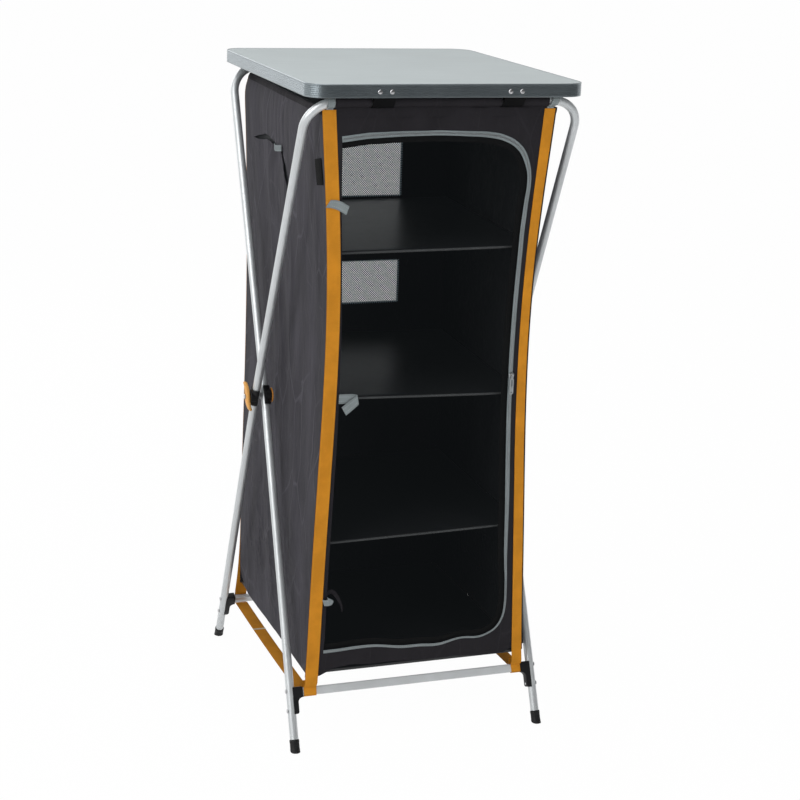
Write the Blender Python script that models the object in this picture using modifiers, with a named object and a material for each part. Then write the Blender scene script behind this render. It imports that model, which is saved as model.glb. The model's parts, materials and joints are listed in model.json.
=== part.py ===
"""Fabric camp kitchen cupboard: a zip-fronted fabric larder of four compartments, hung between
two crossed U-shaped tube frames that fold like scissors under a rectangular tabletop.

Metres, +Z up, +X to the right of someone facing the door, -Y towards that person. The origin is
on the floor under the middle of the tabletop.
"""

from math import asin, cos, hypot, pi, radians, sin

import bmesh
import bpy
from mathutils import Matrix, Vector

for old in list(bpy.data.objects):
    bpy.data.objects.remove(old, do_unlink=True)

# Clearances
GAP = 0.0003
OVERRUN = 0.004

# Tabletop
TOP_WIDTH = 0.520
TOP_DEPTH = 0.600
TOP_HEIGHT = 1.2585
TOP_CORNER = 0.039
RIM_HEIGHT = 0.024
RIM_WALL = 0.0026
RIM_GROOVE = 0.0006
LEDGE_DROP = 0.0050
LEDGE_WIDTH = 0.0110
LEDGE_THICK = 0.0016
PANEL_THICK = 0.0045

# Crossed frames: frame A runs from the front tube to the rear feet, frame B the other way
TUBE_R = 0.008
BEND_R = 0.055
FRONT_TUBE_INSET = 0.0210
REAR_TUBE_INSET = 0.0315
FRONT_FOOT_INSET = 0.0210
REAR_FOOT_INSET = 0.0120
HUB_OUTSET = 0.0025
HUB_SPACE = 0.0030
A_END_INSET = 0.0035
B_END_INSET = 0.0115
TUBE_LIFT = 0.006

# Foot caps
CAP_R = 0.0094
CAP_HEIGHT = 0.022
CAP_ROUND = 0.0008

# Hubs at the crossing
SADDLE_WALL = 0.0024
SADDLE_LENGTH = 0.036
SADDLE_MOUTH = 0.004
BOSS_R = 0.0128
BOSS_OUT = 0.0112
PIN_R = 0.003
PIN_HEAD_R = 0.005
PIN_HEAD_THICK = 0.0018
PIN_SHOULDER_R = 0.007
RING_R = 0.0145
RING_THICK = 0.0022
RING_BEVEL = 0.0006
WING_LENGTH = 0.058
WING_HALF_WIDTH = 0.0080
WING_TIP_HALF_WIDTH = 0.0030
WING_TOP_BEND = 0.0080
WING_FOOT_BEND = 0.0028
WING_THICK = 0.0090
WING_TILT = radians(16.0)
WING_BEVEL = 0.0016

# Lower crossbars and their knee brackets
BAR_Z = 0.100
BAR_HIGH = 0.016
BAR_DEEP = 0.010
BAR_ROUND = 0.0022
BRACKET_DEEP = 0.0155
BRACKET_RISE = 0.0105
BRACKET_SOLE = 0.0096
BRACKET_ELBOW = 0.0185
BRACKET_DROP = 0.0402
BRACKET_PAD = 0.0130
BRACKET_REACH = 0.0230
BRACKET_START = 0.002
BRACKET_FOOT_R = 0.0042
BRACKET_BEVEL = 0.0010
SOCKET_FLOOR = 0.0125
RIVET_R = 0.0022
RIVET_HEAD_R = 0.0042
RIVET_HEAD_THICK = 0.0016
RIVET_RISE = 0.0035
RIVET_DROP = 0.0335

# Clips between the tabletop's rim and the top tubes
CLIP_INSET = 0.0645
CLIP_WIDTH = 0.040
CLIP_WALL = 0.0026
CLIP_LEAF = 0.0026
CLIP_RIVET_SPACING = 0.022
CLIP_RIVET_DROP = 0.0135

# Fabric body: sets are distances from a tube's or a foot's middle to the cloth
CLOTH = 0.0016
BODY_HANG = 0.0042
FLOOR_RISE = 0.0370
FRONT_TOP_SET = 0.0042
FRONT_FOOT_SET = 0.0390
REAR_TOP_SET = 0.0035
REAR_FOOT_SET = 0.0480
REAR_INSET = 0.0255
REAR_TAPER = 0.0120
REAR_TAPER_TALL = 0.0440
WAIST_SHARE = 0.57
FOLD_DEPTH = 0.0045
FOLD_SPACING = 0.092
FOLD_LEAN_SHARE = 0.24

# Straps and loops
WEBBING = 0.0012
STRAP_WIDTH = 0.025
STRAP_TOP_INSET = 0.0505
STRAP_WAIST_DRAW = 0.0150
STRAP_FOOT_INSET = 0.0370
STRAP_TOP_DROP = 0.0050
STRAP_TAIL = 0.018
BOTTOM_STRAP_INSET = 0.0280
REAR_STRAP_INSET = 0.0185
LOOP_WIDTH = 0.015
LOOP_SLACK = 0.0020
LOOP_UNDER = radians(40)
LOOP_TAIL = 0.0130
REAR_LOOP_INSET = 0.0245

# Sleeves that hem the body to the top tubes
SLEEVE_INSET = 0.0200
SLEEVE_CLOTH = 0.0013
SLEEVE_TAIL = 0.0150

# Shelves and floor
SHELF_SHARES = (0.761, 0.503, 0.246)
SHELF_THICK = 0.0050
FLOOR_THICK = 0.0060
SHELF_SETBACK = 0.0200
PIPING_R = 0.0024

# Door opening, zip and rolled door
DOOR_TOP_INSET = 0.0180
DOOR_WAIST_INSET = 0.0165
DOOR_FOOT_INSET = 0.0255
DOOR_WELT = 0.0150
ZIP_WIDTH = 0.0090
ZIP_THICK = 0.0010
ZIP_TOP_INSET = 0.0400
ZIP_WAIST_INSET = 0.0325
ZIP_FOOT_INSET = 0.0290
ZIP_TOP_DROP = 0.0450
ZIP_FOOT_RISE = 0.0450
ZIP_TOP_CORNER = 0.072
ZIP_FOOT_CORNER = 0.048
SLIDER_SHARE = 0.537
SLIDER_WIDTH = 0.0110
SLIDER_LENGTH = 0.0140
SLIDER_THICK = 0.0040
SLIDER_BEVEL = 0.0012
SLIDER_OUTLINE_SHARES = ((-0.6, -1.0), (0.6, -1.0), (1.0, 0.4), (0.7, 1.0), (-0.7, 1.0), (-1.0, 0.4))
SLIDER_POST_THICK = 0.0011
SLIDER_POST_LONG = 0.0044
SLIDER_POST_SHARE = 0.62
SLIDER_BRIDGE_SHARE = 0.7
PULL_LENGTH = 0.034
PULL_WIDTH = 0.0080
PULL_THICK = 0.0014
PULL_EYE_R = 0.0012
PULL_KNUCKLE_R = 0.0022
PULL_SLOT = 0.0140
PULL_NECK_SHARE = 0.45
PULL_NECK_LONG_SHARE = 1.6
PULL_SHOULDER_SHARE = 2.6
PULL_SLOT_WIDTH_SHARE = 0.4
PULL_SLOT_FOOT_SHARE = 0.8
ROLL_HALF_WIDTH = 0.0085
ROLL_HALF_DEPTH = 0.0075
ROLL_PITCH = 0.0019
ROLL_TURNS = 2.0
ROLL_CLOTH = 0.0010

# Mesh windows in the back: the foot and top of each, as shares of the body's height
WINDOW_HALF = 0.115
WINDOW_SHARES = ((0.764, 0.917), (0.555, 0.641))
WINDOW_CORNER = 0.003
MESH_THICK = 0.0010

# Door ties, vent slit with its tab, and the blank side tag
TIE_WIDTH = 0.0130
TIE_LENGTH = 0.0440
TIE_SHARES = (0.840, 0.510, 0.140)
TIE_SLOPE_SHARE = -0.35
TIE_LOOP_LONG = 0.0300
TIE_LOOP_R = 0.0035
TIE_LOOP_DROP = 0.0110
TIE_LOOP_LEAN = radians(38)
TIE_CURL_WIDTH = 0.0160
TIE_CURL_R = 0.0065
TIE_CURL_TURN = radians(215)
VENT_REAR_INSET = 0.0500
VENT_LONG = 0.1850
VENT_REACH = 0.0740
VENT_DROP = 0.1140
VENT_TALL = 0.0950
VENT_MOUTH = 0.0110
VENT_SINK = 0.0070
VENT_SPREAD = 0.075
VENT_KNEE_SHARE = 0.6
VENT_KNEE_DROP_SHARE = 0.25
VENT_TAB = 0.0180
VENT_SEAM = 0.0040
TAG_WIDTH = 0.0135
TAG_HEIGHT = 0.0480
TAG_THICK = 0.0010
TAG_DROP = 0.1250

# Smoothness
TUBE_SIDES_LEVEL = 4
BEND_STEPS = 7
CORNER_STEPS = 5
TURN_STEPS = 16
HUB_STEPS = 14
RIVET_STEPS = 8
CLOTH_COLUMNS = 18
CLOTH_ROWS = 14
ROLL_STEPS = 30

# Worked out from the sizes above
TOP_TUBE_Z = TOP_HEIGHT - RIM_HEIGHT - GAP - TUBE_R
LEDGE_Z = TOP_HEIGHT - LEDGE_DROP
PIN_REACH = BOSS_OUT + 2 * GAP + WING_THICK
FRONT_TUBE_Y = FRONT_TUBE_INSET - TOP_DEPTH / 2
REAR_TUBE_Y = TOP_DEPTH / 2 - REAR_TUBE_INSET
FRONT_FOOT_Y = FRONT_FOOT_INSET - TOP_DEPTH / 2
REAR_FOOT_Y = TOP_DEPTH / 2 - REAR_FOOT_INSET
A_HUB_X = TOP_WIDTH / 2 + HUB_OUTSET
B_HUB_X = A_HUB_X - 2 * TUBE_R - HUB_SPACE
A_END_X = TOP_WIDTH / 2 - A_END_INSET
B_END_X = TOP_WIDTH / 2 - B_END_INSET
BODY_TOP_Z = TOP_TUBE_Z - TUBE_R - BODY_HANG
BODY_FOOT_Z = BAR_Z + FLOOR_RISE
BODY_TALL = BODY_TOP_Z - BODY_FOOT_Z
FRONT_Y_TOP = FRONT_TUBE_Y + FRONT_TOP_SET
FRONT_Y_FOOT = FRONT_FOOT_Y + FRONT_FOOT_SET
REAR_Y_TOP = REAR_TUBE_Y - REAR_TOP_SET
REAR_Y_FOOT = REAR_FOOT_Y - REAR_FOOT_SET
REAR_HALF = B_END_X - REAR_INSET
STRAP_X_TOP = A_END_X - STRAP_TOP_INSET
STRAP_X_WAIST = STRAP_X_TOP - STRAP_WAIST_DRAW
SLEEVE_HALF = STRAP_X_TOP - SLEEVE_INSET
CLIP_X = SLEEVE_HALF - CLIP_INSET
STRAP_X_FOOT = B_END_X - STRAP_FOOT_INSET
BOTTOM_STRAP_X = B_END_X - BOTTOM_STRAP_INSET
STRAP_TOP_Z = BODY_TOP_Z - STRAP_TOP_DROP
WAIST_Z = BODY_FOOT_Z + WAIST_SHARE * BODY_TALL
ZIP_TOP_Z = BODY_TOP_Z - ZIP_TOP_DROP
ZIP_FOOT_Z = BODY_FOOT_Z + ZIP_FOOT_RISE
VENT_REAR_Y = REAR_Y_TOP - VENT_REAR_INSET
VENT_CORNER_Y = VENT_REAR_Y - VENT_LONG
VENT_Z = BODY_TOP_Z - VENT_DROP
UP = Vector((0, 0, 1))
ACROSS = Vector((1, 0, 0))

SCENE = bpy.context.scene
PARTS = bpy.data.collections.new("fabric_camp_kitchen_cupboard")
CUTTERS = bpy.data.collections.new("cutters")
SCENE.collection.children.link(PARTS)
SCENE.collection.children.link(CUTTERS)


def material(name, colour, roughness, metallic=0):
    made = bpy.data.materials.new(name)
    made.use_nodes = True
    shader = made.node_tree.nodes["Principled BSDF"]
    shader.inputs["Base Color"].default_value = (*colour, 1)
    shader.inputs["Roughness"].default_value = roughness
    shader.inputs["Metallic"].default_value = metallic
    made.diffuse_color = (*colour, 1)
    return made


TOP_GREY = material("top_laminate", (0.43, 0.49, 0.50), 0.35)
RIM_GREY = material("rim_aluminium", (0.30, 0.34, 0.36), 0.35, 1)
TUBE_GREY = material("tube_enamel", (0.72, 0.74, 0.75), 0.30, 0.4)
BAR_GREY = material("bar_aluminium", (0.46, 0.48, 0.50), 0.35, 0.8)
BLACK = material("black_plastic", (0.012, 0.012, 0.013), 0.45)
CAP_BLACK = material("cap_rubber", (0.020, 0.020, 0.022), 0.6)
STEEL = material("steel", (0.55, 0.55, 0.56), 0.3, 1)
ORANGE = material("orange_plastic", (0.82, 0.36, 0.08), 0.4)
CHARCOAL = material("side_fabric", (0.050, 0.048, 0.056), 0.9)
DARK = material("front_fabric", (0.018, 0.017, 0.020), 0.9)
LINING = material("lining_fabric", (0.012, 0.013, 0.014), 0.9)
WEB_ORANGE = material("orange_webbing", (0.50, 0.20, 0.020), 0.85)
WEB_GREY = material("grey_webbing", (0.20, 0.23, 0.24), 0.85)
MESH_GREY = material("window_mesh", (0.20, 0.22, 0.23), 0.8)
ZINC = material("zip_metal", (0.40, 0.41, 0.42), 0.35, 1)


# Building helpers

def add(name, data, surface, matrix=None, smooth=True):
    """Put data into the scene as the object called name, at matrix."""
    made = bpy.data.objects.new(name, data)
    PARTS.objects.link(made)
    if matrix is not None:
        made.matrix_world = matrix
    data.materials.clear()
    data.materials.append(surface)
    if smooth and isinstance(data, bpy.types.Mesh):
        data.shade_smooth()
        data.set_sharp_from_angle(angle=radians(32))
    return made


def basis(origin, x_axis, y_axis):
    """Return the matrix of a right-handed frame at origin from two axes in its XY plane."""
    x_dir = Vector(x_axis).normalized()
    z_dir = x_dir.cross(Vector(y_axis)).normalized()
    y_dir = z_dir.cross(x_dir)
    turned = Matrix((x_dir, y_dir, z_dir)).transposed().to_4x4()
    return Matrix.Translation(origin) @ turned


def along(origin, z_axis):
    """Return the matrix of a frame at origin whose Z runs along z_axis."""
    z_dir = Vector(z_axis).normalized()
    side = ACROSS if abs(z_dir.x) < cos(pi / 4) else UP
    return basis(origin, z_dir.cross(side).cross(z_dir), z_dir.cross(side))


def curve_object(name, rings, surface, matrix, dimensions="2D", cyclic=True):
    """Return a curve object with one straight-sided spline for each ring of points."""
    data = bpy.data.curves.new(name, "CURVE")
    data.dimensions = dimensions
    for ring in rings:
        spline = data.splines.new("POLY")
        spline.points.add(len(ring) - 1)
        for point, place in zip(spline.points, ring):
            spot = Vector(place).to_3d()
            point.co = (*spot, 1)
        spline.use_cyclic_u = cyclic
    return add(name, data, surface, matrix)


def to_mesh(source):
    """Swap a curve object for a mesh object of the same name, with its caps welded."""
    bpy.context.view_layer.update()
    seen = source.evaluated_get(bpy.context.evaluated_depsgraph_get())
    data = bpy.data.meshes.new_from_object(seen)
    shape = bmesh.new()
    shape.from_mesh(data)
    bmesh.ops.remove_doubles(shape, verts=shape.verts, dist=GAP / 10)
    shape.to_mesh(data)
    shape.free()
    name, matrix, surface = source.name, source.matrix_world.copy(), source.data.materials[0]
    bpy.data.objects.remove(source, do_unlink=True)
    return add(name, data, surface, matrix)


def plate(name, rings, thick, surface, matrix):
    """Return a mesh plate of the outline and holes in rings, thick along the frame's Z."""
    made = curve_object(name, rings, surface, matrix)
    made.data.fill_mode = "BOTH"
    made.data.extrude = thick / 2
    return to_mesh(made)


def tube(name, points, radius, surface):
    """Return a round bar through points."""
    made = curve_object(name, [points], surface, Matrix(), "3D", cyclic=False)
    made.data.bevel_depth = radius
    made.data.bevel_resolution = TUBE_SIDES_LEVEL
    made.data.use_fill_caps = True
    return to_mesh(made)


def turned(name, profile, surface, matrix, steps=TURN_STEPS):
    """Turn a profile of (radius, height) pairs about the frame's Z.

    It is listed from its top down, and a ring's profile ends at the point where it starts.
    """
    shape = bmesh.new()
    closed = profile[0] == profile[-1]
    ends = [shape.verts.new((radius, 0, height)) for radius, height in profile[closed:]]
    if closed:
        ends.append(ends[0])
    for upper, lower in zip(ends, ends[1:]):
        shape.edges.new((upper, lower))
    data = bpy.data.meshes.new(name)
    shape.to_mesh(data)
    shape.free()
    made = add(name, data, surface, matrix)
    screw = made.modifiers.new("turn", "SCREW")
    screw.steps = steps
    screw.render_steps = steps
    screw.use_merge_vertices = True
    screw.merge_threshold = GAP / 10
    screw.use_smooth_shade = True
    return made


def sheet(name, columns, rows, place, thick, surface):
    """Return cloth of the given thickness whose middle runs through place(u, v)."""
    shape = bmesh.new()
    bmesh.ops.create_grid(shape, x_segments=columns, y_segments=rows, size=0.5)
    for vert in shape.verts:
        vert.co = place(vert.co.x + 0.5, vert.co.y + 0.5)
    data = bpy.data.meshes.new(name)
    shape.to_mesh(data)
    shape.free()
    made = add(name, data, surface)
    skin = made.modifiers.new("cloth", "SOLIDIFY")
    skin.thickness = thick
    skin.offset = 0
    skin.use_even_offset = True
    return made


def box(name, size, matrix):
    """Return a cutter box of the given size, centred on the frame."""
    shape = bmesh.new()
    bmesh.ops.create_cube(shape, size=1, matrix=Matrix.Diagonal((*size, 1)))
    return cutter(name, shape, matrix)


def rod(name, radius, length, matrix, segments=TURN_STEPS):
    """Return a cutter cylinder centred on the frame, along its Z."""
    shape = bmesh.new()
    bmesh.ops.create_cone(shape, cap_ends=True, segments=segments,
                          radius1=radius, radius2=radius, depth=length)
    return cutter(name, shape, matrix)


def cutter(name, shape, matrix):
    data = bpy.data.meshes.new(name)
    shape.to_mesh(data)
    shape.free()
    return shelve(add(name, data, BLACK, matrix))


def shelve(made):
    """Move an object from the parts to the cutters."""
    PARTS.objects.unlink(made)
    CUTTERS.objects.link(made)
    made.hide_render = True
    made.display_type = "WIRE"
    return made


def combine(target, tool, operation):
    """Cut tool from target, or join it on."""
    step = target.modifiers.new(operation.lower(), "BOOLEAN")
    step.operation = operation
    step.object = tool
    step.solver = "EXACT"


def bevel(target, width, segments=1):
    step = target.modifiers.new("edges", "BEVEL")
    step.width = width
    step.segments = segments
    step.limit_method = "ANGLE"
    step.angle_limit = radians(40)


def arc(centre, radius, start, stop, steps):
    """Return points on a flat arc, from the angle start to the angle stop."""
    angles = [start + (stop - start) * step / steps for step in range(steps + 1)]
    return [(centre[0] + radius * cos(a), centre[1] + radius * sin(a)) for a in angles]


def rounded(left, right, low, high, radius, steps=CORNER_STEPS):
    """Return the outline of a rectangle with round corners, counterclockwise."""
    points = arc((right - radius, low + radius), radius, -pi / 2, 0, steps)
    points += arc((right - radius, high - radius), radius, 0, pi / 2, steps)
    points += arc((left + radius, high - radius), radius, pi / 2, pi, steps)
    points += arc((left + radius, low + radius), radius, pi, 3 * pi / 2, steps)
    return points


def mixed(low, high, share):
    return low + (high - low) * share


# The frames' geometry, in the plane that each frame lies in

class Frame:
    """One U-shaped tube frame: t is the distance down its plane from the middle of its top tube."""

    def __init__(self, top_y, foot_y, hub_x, end_x):
        self.top_y = top_y
        self.hub_x = hub_x
        self.end_x = end_x
        self.length = hypot(foot_y - top_y, TOP_TUBE_Z)
        self.down = Vector((0, foot_y - top_y, -TOP_TUBE_Z)) / self.length
        self.normal = ACROSS.cross(self.down).normalized()

    def at(self, x, t):
        return Vector((x, self.top_y, TOP_TUBE_Z)) + self.down * t

    def t_at_height(self, z):
        return (TOP_TUBE_Z - z) / -self.down.z

    def leg_x(self, t):
        """Return the leg's distance from the middle: bowed out or in at the hub by its spacer."""
        hub_t = self.t_at_height(HUB.z)
        share = t / hub_t if t < hub_t else (self.length - t) / (self.length - hub_t)
        return mixed(self.end_x, self.hub_x, share)

    def leg_at(self, side, t):
        return self.at(side * self.leg_x(t), t)

    def lower_leg(self, side):
        """Return the direction up the lower leg."""
        hub_t = self.t_at_height(HUB.z)
        return (self.leg_at(side, hub_t) - self.leg_at(side, self.length)).normalized()

    def points(self):
        """Return the tube's centre line, foot to foot."""
        hub_t = self.t_at_height(HUB.z)
        half = [(self.leg_x(t), t) for t in (self.length - TUBE_LIFT, hub_t)]
        start_x = self.leg_x(BEND_R)
        half += arc((start_x - BEND_R, BEND_R), BEND_R, 0, -pi / 2, BEND_STEPS)
        return [self.at(x, t) for x, t in half] + [self.at(-x, t) for x, t in reversed(half)]


def crossing():
    """Return the point, seen from the side, where the two frames cross."""
    run = (REAR_TUBE_Y - FRONT_TUBE_Y) / ((REAR_TUBE_Y - FRONT_TUBE_Y) + (REAR_FOOT_Y - FRONT_FOOT_Y))
    return Vector((0, mixed(FRONT_TUBE_Y, REAR_FOOT_Y, run), mixed(TOP_TUBE_Z, 0, run)))


HUB = crossing()
FRAME_A = Frame(FRONT_TUBE_Y, REAR_FOOT_Y, A_HUB_X, A_END_X)
FRAME_B = Frame(REAR_TUBE_Y, FRONT_FOOT_Y, B_HUB_X, B_END_X)


# Tabletop

def rim_section():
    """Return the rim's section: x inwards from the outer face, y up from the rim's middle."""
    top = RIM_HEIGHT / 2
    ledge = top - LEDGE_DROP
    step = RIM_HEIGHT / 6
    section = [(0, top - RIM_GROOVE), (RIM_GROOVE, top), (RIM_WALL, top), (RIM_WALL, ledge)]
    section += [(LEDGE_WIDTH, ledge), (LEDGE_WIDTH, ledge - LEDGE_THICK)]
    section += [(RIM_WALL, ledge - LEDGE_THICK), (RIM_WALL, -top), (RIM_GROOVE, -top)]
    section += [(0, RIM_GROOVE - top)]
    for level in (-step, step):
        section += [(0, level - RIM_GROOVE), (RIM_GROOVE, level), (0, level + RIM_GROOVE)]
    return section


def make_tabletop():
    middle = TOP_HEIGHT - RIM_HEIGHT / 2
    outline = rounded(-TOP_WIDTH / 2, TOP_WIDTH / 2, -TOP_DEPTH / 2, TOP_DEPTH / 2, TOP_CORNER)
    section = shelve(curve_object("rim_section", [rim_section()], RIM_GREY, Matrix()))
    section.data.fill_mode = "NONE"
    rim = curve_object("top_edge_frame", [outline], RIM_GREY, Matrix.Translation((0, 0, middle)))
    rim.data.fill_mode = "NONE"
    rim.data.bevel_mode = "OBJECT"
    rim.data.bevel_object = section
    rim = to_mesh(rim)
    inset = RIM_WALL + GAP
    seat = LEDGE_Z + GAP + PANEL_THICK / 2
    board = rounded(inset - TOP_WIDTH / 2, TOP_WIDTH / 2 - inset,
                    inset - TOP_DEPTH / 2, TOP_DEPTH / 2 - inset, TOP_CORNER - inset)
    plate("top_panel", [board], PANEL_THICK, TOP_GREY, Matrix.Translation((0, 0, seat)))
    for end, tube_y in ((-1, FRONT_TUBE_Y), (1, REAR_TUBE_Y)):
        for side in (-1, 1):
            make_clip(rim, end, side, tube_y)


def rivet(name, shank, matrix):
    """Return a rivet cutter or tool: its domed head sits at the frame's origin, over Z = 0."""
    profile = [(0, RIVET_HEAD_THICK), (RIVET_HEAD_R / 2, RIVET_HEAD_THICK),
               (RIVET_HEAD_R, RIVET_HEAD_THICK / 4), (RIVET_HEAD_R, 0),
               (RIVET_R, 0), (RIVET_R, -shank), (0, -shank)]
    return shelve(turned(name, profile, STEEL, matrix, RIVET_STEPS))


def make_clip(rim, end, side, tube_y):
    """Make the clip that ties the rim to a top tube: closed on the front tube, which it turns on,
    and an open hook on the rear tube, which it lifts off."""
    label = ("front_hinge_" if end < 0 else "rear_hook_") + ("left" if side < 0 else "right")
    face = TOP_DEPTH / 2 - RIM_WALL - GAP
    drop = face - abs(tube_y)
    leaf_top = LEDGE_Z - LEDGE_THICK - GAP - TOP_TUBE_Z
    leaf_foot = RIM_HEIGHT / 4
    inner = TUBE_R + GAP
    outer = inner + CLIP_WALL
    reach = asin(leaf_foot / outer)
    outline = [(drop, leaf_foot), (drop, leaf_top), (drop - CLIP_LEAF, leaf_top)]
    outline += [(drop - CLIP_LEAF, outer)]
    if end < 0:
        outline += arc((0, 0), outer, pi / 2, 2 * pi - reach, TURN_STEPS)
        rings = [outline, arc((0, 0), inner, 0, 2 * pi, TURN_STEPS)[:-1]]
    else:
        outline += [(0, outer), (0, inner)]
        outline += arc((0, 0), inner, pi / 2, -reach, TURN_STEPS // 2)
        outline += [(outer, inner * sin(-reach))]
        rings = [outline]
    middle = Vector((side * CLIP_X, tube_y, TOP_TUBE_Z))
    clip = plate(label, rings, CLIP_WIDTH, BLACK, basis(middle, (0, end, 0), UP))
    for step in (-0.5, 0.5):
        x = side * CLIP_X + step * CLIP_RIVET_SPACING
        head = Vector((x, end * (TOP_DEPTH / 2 + GAP), TOP_HEIGHT - CLIP_RIVET_DROP))
        outward = Vector((0, end, 0))
        shank = RIM_WALL + 2 * GAP + CLIP_LEAF / 2
        combine(clip, rivet(label + "_rivet", shank, along(head, outward)), "UNION")
        hole = rod(label + "_hole", RIVET_R + GAP, 4 * RIM_WALL, along(head, outward), RIVET_STEPS)
        combine(rim, hole, "DIFFERENCE")


# Tube frames

def make_frame(letter, frame, bar_label):
    legs = tube("frame_" + letter + "_tube", frame.points(), TUBE_R, TUBE_GREY)
    hub_t = frame.t_at_height(HUB.z)
    bar_t = frame.t_at_height(BAR_Z)
    for side, hand in ((-1, "_left"), (1, "_right")):
        pin_hole = rod("pin_hole", PIN_R + GAP, 4 * TUBE_R, along(frame.leg_at(side, hub_t), ACROSS))
        combine(legs, pin_hole, "DIFFERENCE")
        make_cap("foot_cap_" + bar_label + hand, frame, side)
        make_bracket(bar_label + "_bracket" + hand, frame, side, bar_t, legs)
    half = frame.leg_x(bar_t) - SOCKET_FLOOR - GAP
    section = rounded(-BAR_DEEP / 2, BAR_DEEP / 2, -BAR_HIGH / 2, BAR_HIGH / 2, BAR_ROUND, 3)
    plate(bar_label + "_crossbar", [section], 2 * half, BAR_GREY,
          basis(frame.at(0, bar_t), frame.normal, frame.down))


def make_cap(name, frame, side):
    """Make the cup that covers a tube's end, cut off level with the floor."""
    rise = frame.lower_leg(side)
    bore = TUBE_R + GAP
    floor = TUBE_LIFT - GAP
    profile = [(bore, floor), (bore, CAP_HEIGHT), (CAP_R - CAP_ROUND, CAP_HEIGHT),
               (CAP_R, CAP_HEIGHT - CAP_ROUND), (CAP_R, -CAP_R), (0, -CAP_R)]
    profile = [(0, floor)] + profile
    cap = turned(name, profile, CAP_BLACK, along(frame.leg_at(side, frame.length), rise))
    depth = 4 * CAP_R
    below = frame.leg_at(side, frame.length) - UP * depth / 2
    combine(cap, box(name + "_floor", (depth, depth, depth), Matrix.Translation(below)), "DIFFERENCE")


def make_bracket(name, frame, side, bar_t, legs):
    """Make the knee that holds a crossbar's end to a leg: a socket, a hollowed elbow and a pad."""
    rise = frame.lower_leg(side)
    inward = -side * frame.normal.cross(rise)
    if inward.x * side > 0:
        inward = -inward
    origin = frame.leg_at(side, bar_t)
    wide, tall = BRACKET_REACH - BRACKET_PAD, BRACKET_ELBOW - BRACKET_SOLE
    outline = [(BRACKET_START, BRACKET_RISE), (BRACKET_START, -BRACKET_DROP)]
    outline += arc((BRACKET_PAD - BRACKET_FOOT_R, BRACKET_FOOT_R - BRACKET_DROP), BRACKET_FOOT_R,
                   -pi / 2, 0, 4)
    outline += [(BRACKET_REACH - wide * across, tall * up - BRACKET_ELBOW)
                for across, up in arc((0, 0), 1, 0, pi / 2, CORNER_STEPS)]
    outline += [(BRACKET_REACH, BRACKET_RISE)]
    knee = plate(name, [outline], BRACKET_DEEP, BLACK, basis(origin, inward, rise))
    bevel(knee, BRACKET_BEVEL)
    groove = rod(name + "_groove", TUBE_R + GAP, 4 * BRACKET_DROP, along(origin, rise))
    combine(knee, groove, "DIFFERENCE")
    reach = BRACKET_REACH - SOCKET_FLOOR + OVERRUN
    middle = origin + ACROSS * -side * (SOCKET_FLOOR + reach / 2)
    socket = box(name + "_socket", (BAR_DEEP + 2 * GAP, BAR_HIGH + 2 * GAP, reach),
                 basis(middle, frame.normal, frame.down))
    combine(knee, socket, "DIFFERENCE")
    for step in (RIVET_RISE, -RIVET_DROP):
        spot = origin + rise * step
        head = spot - inward * (TUBE_R + GAP)
        shank = 2 * TUBE_R + 3 * GAP
        combine(knee, rivet(name + "_rivet", shank, along(head, -inward)), "UNION")
        hole = rod(name + "_hole", RIVET_R + GAP, 4 * TUBE_R, along(spot, inward), RIVET_STEPS)
        combine(legs, hole, "DIFFERENCE")


# Hubs

def make_saddle(name, frame, side, outward):
    """Make the plastic saddle that grips one tube at the crossing, with its boss on one side."""
    hub_t = frame.t_at_height(HUB.z)
    centre = frame.leg_at(side, hub_t)
    facing = ACROSS * side * outward
    grip = TUBE_R + GAP + SADDLE_WALL
    body = turned(name, [(0, SADDLE_LENGTH / 2), (grip, SADDLE_LENGTH / 2),
                         (grip, -SADDLE_LENGTH / 2), (0, -SADDLE_LENGTH / 2)],
                  BLACK, along(centre, frame.down), HUB_STEPS)
    boss = turned(name + "_boss", [(0, BOSS_OUT), (BOSS_R - CAP_ROUND, BOSS_OUT),
                                   (BOSS_R, BOSS_OUT - CAP_ROUND), (BOSS_R, 0), (0, 0)],
                  BLACK, along(centre, facing), HUB_STEPS)
    combine(body, shelve(boss), "UNION")
    for step in (-1, 1):
        arm = Vector(frame.leg_at(side, hub_t + step * SADDLE_LENGTH) - centre).normalized()
        groove = rod(name + "_groove", TUBE_R + GAP, 2 * SADDLE_LENGTH,
                     along(centre + arm * (SADDLE_LENGTH - TUBE_R / 4), arm), HUB_STEPS)
        combine(body, groove, "DIFFERENCE")
    mouth = box(name + "_mouth", (4 * grip, 4 * grip, 2 * grip),
                along(centre - facing * (grip + SADDLE_MOUTH), facing))
    combine(body, mouth, "DIFFERENCE")
    bore = rod(name + "_bore", PIN_R + GAP, 8 * TUBE_R, along(centre, facing), HUB_STEPS)
    combine(body, bore, "DIFFERENCE")


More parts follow.
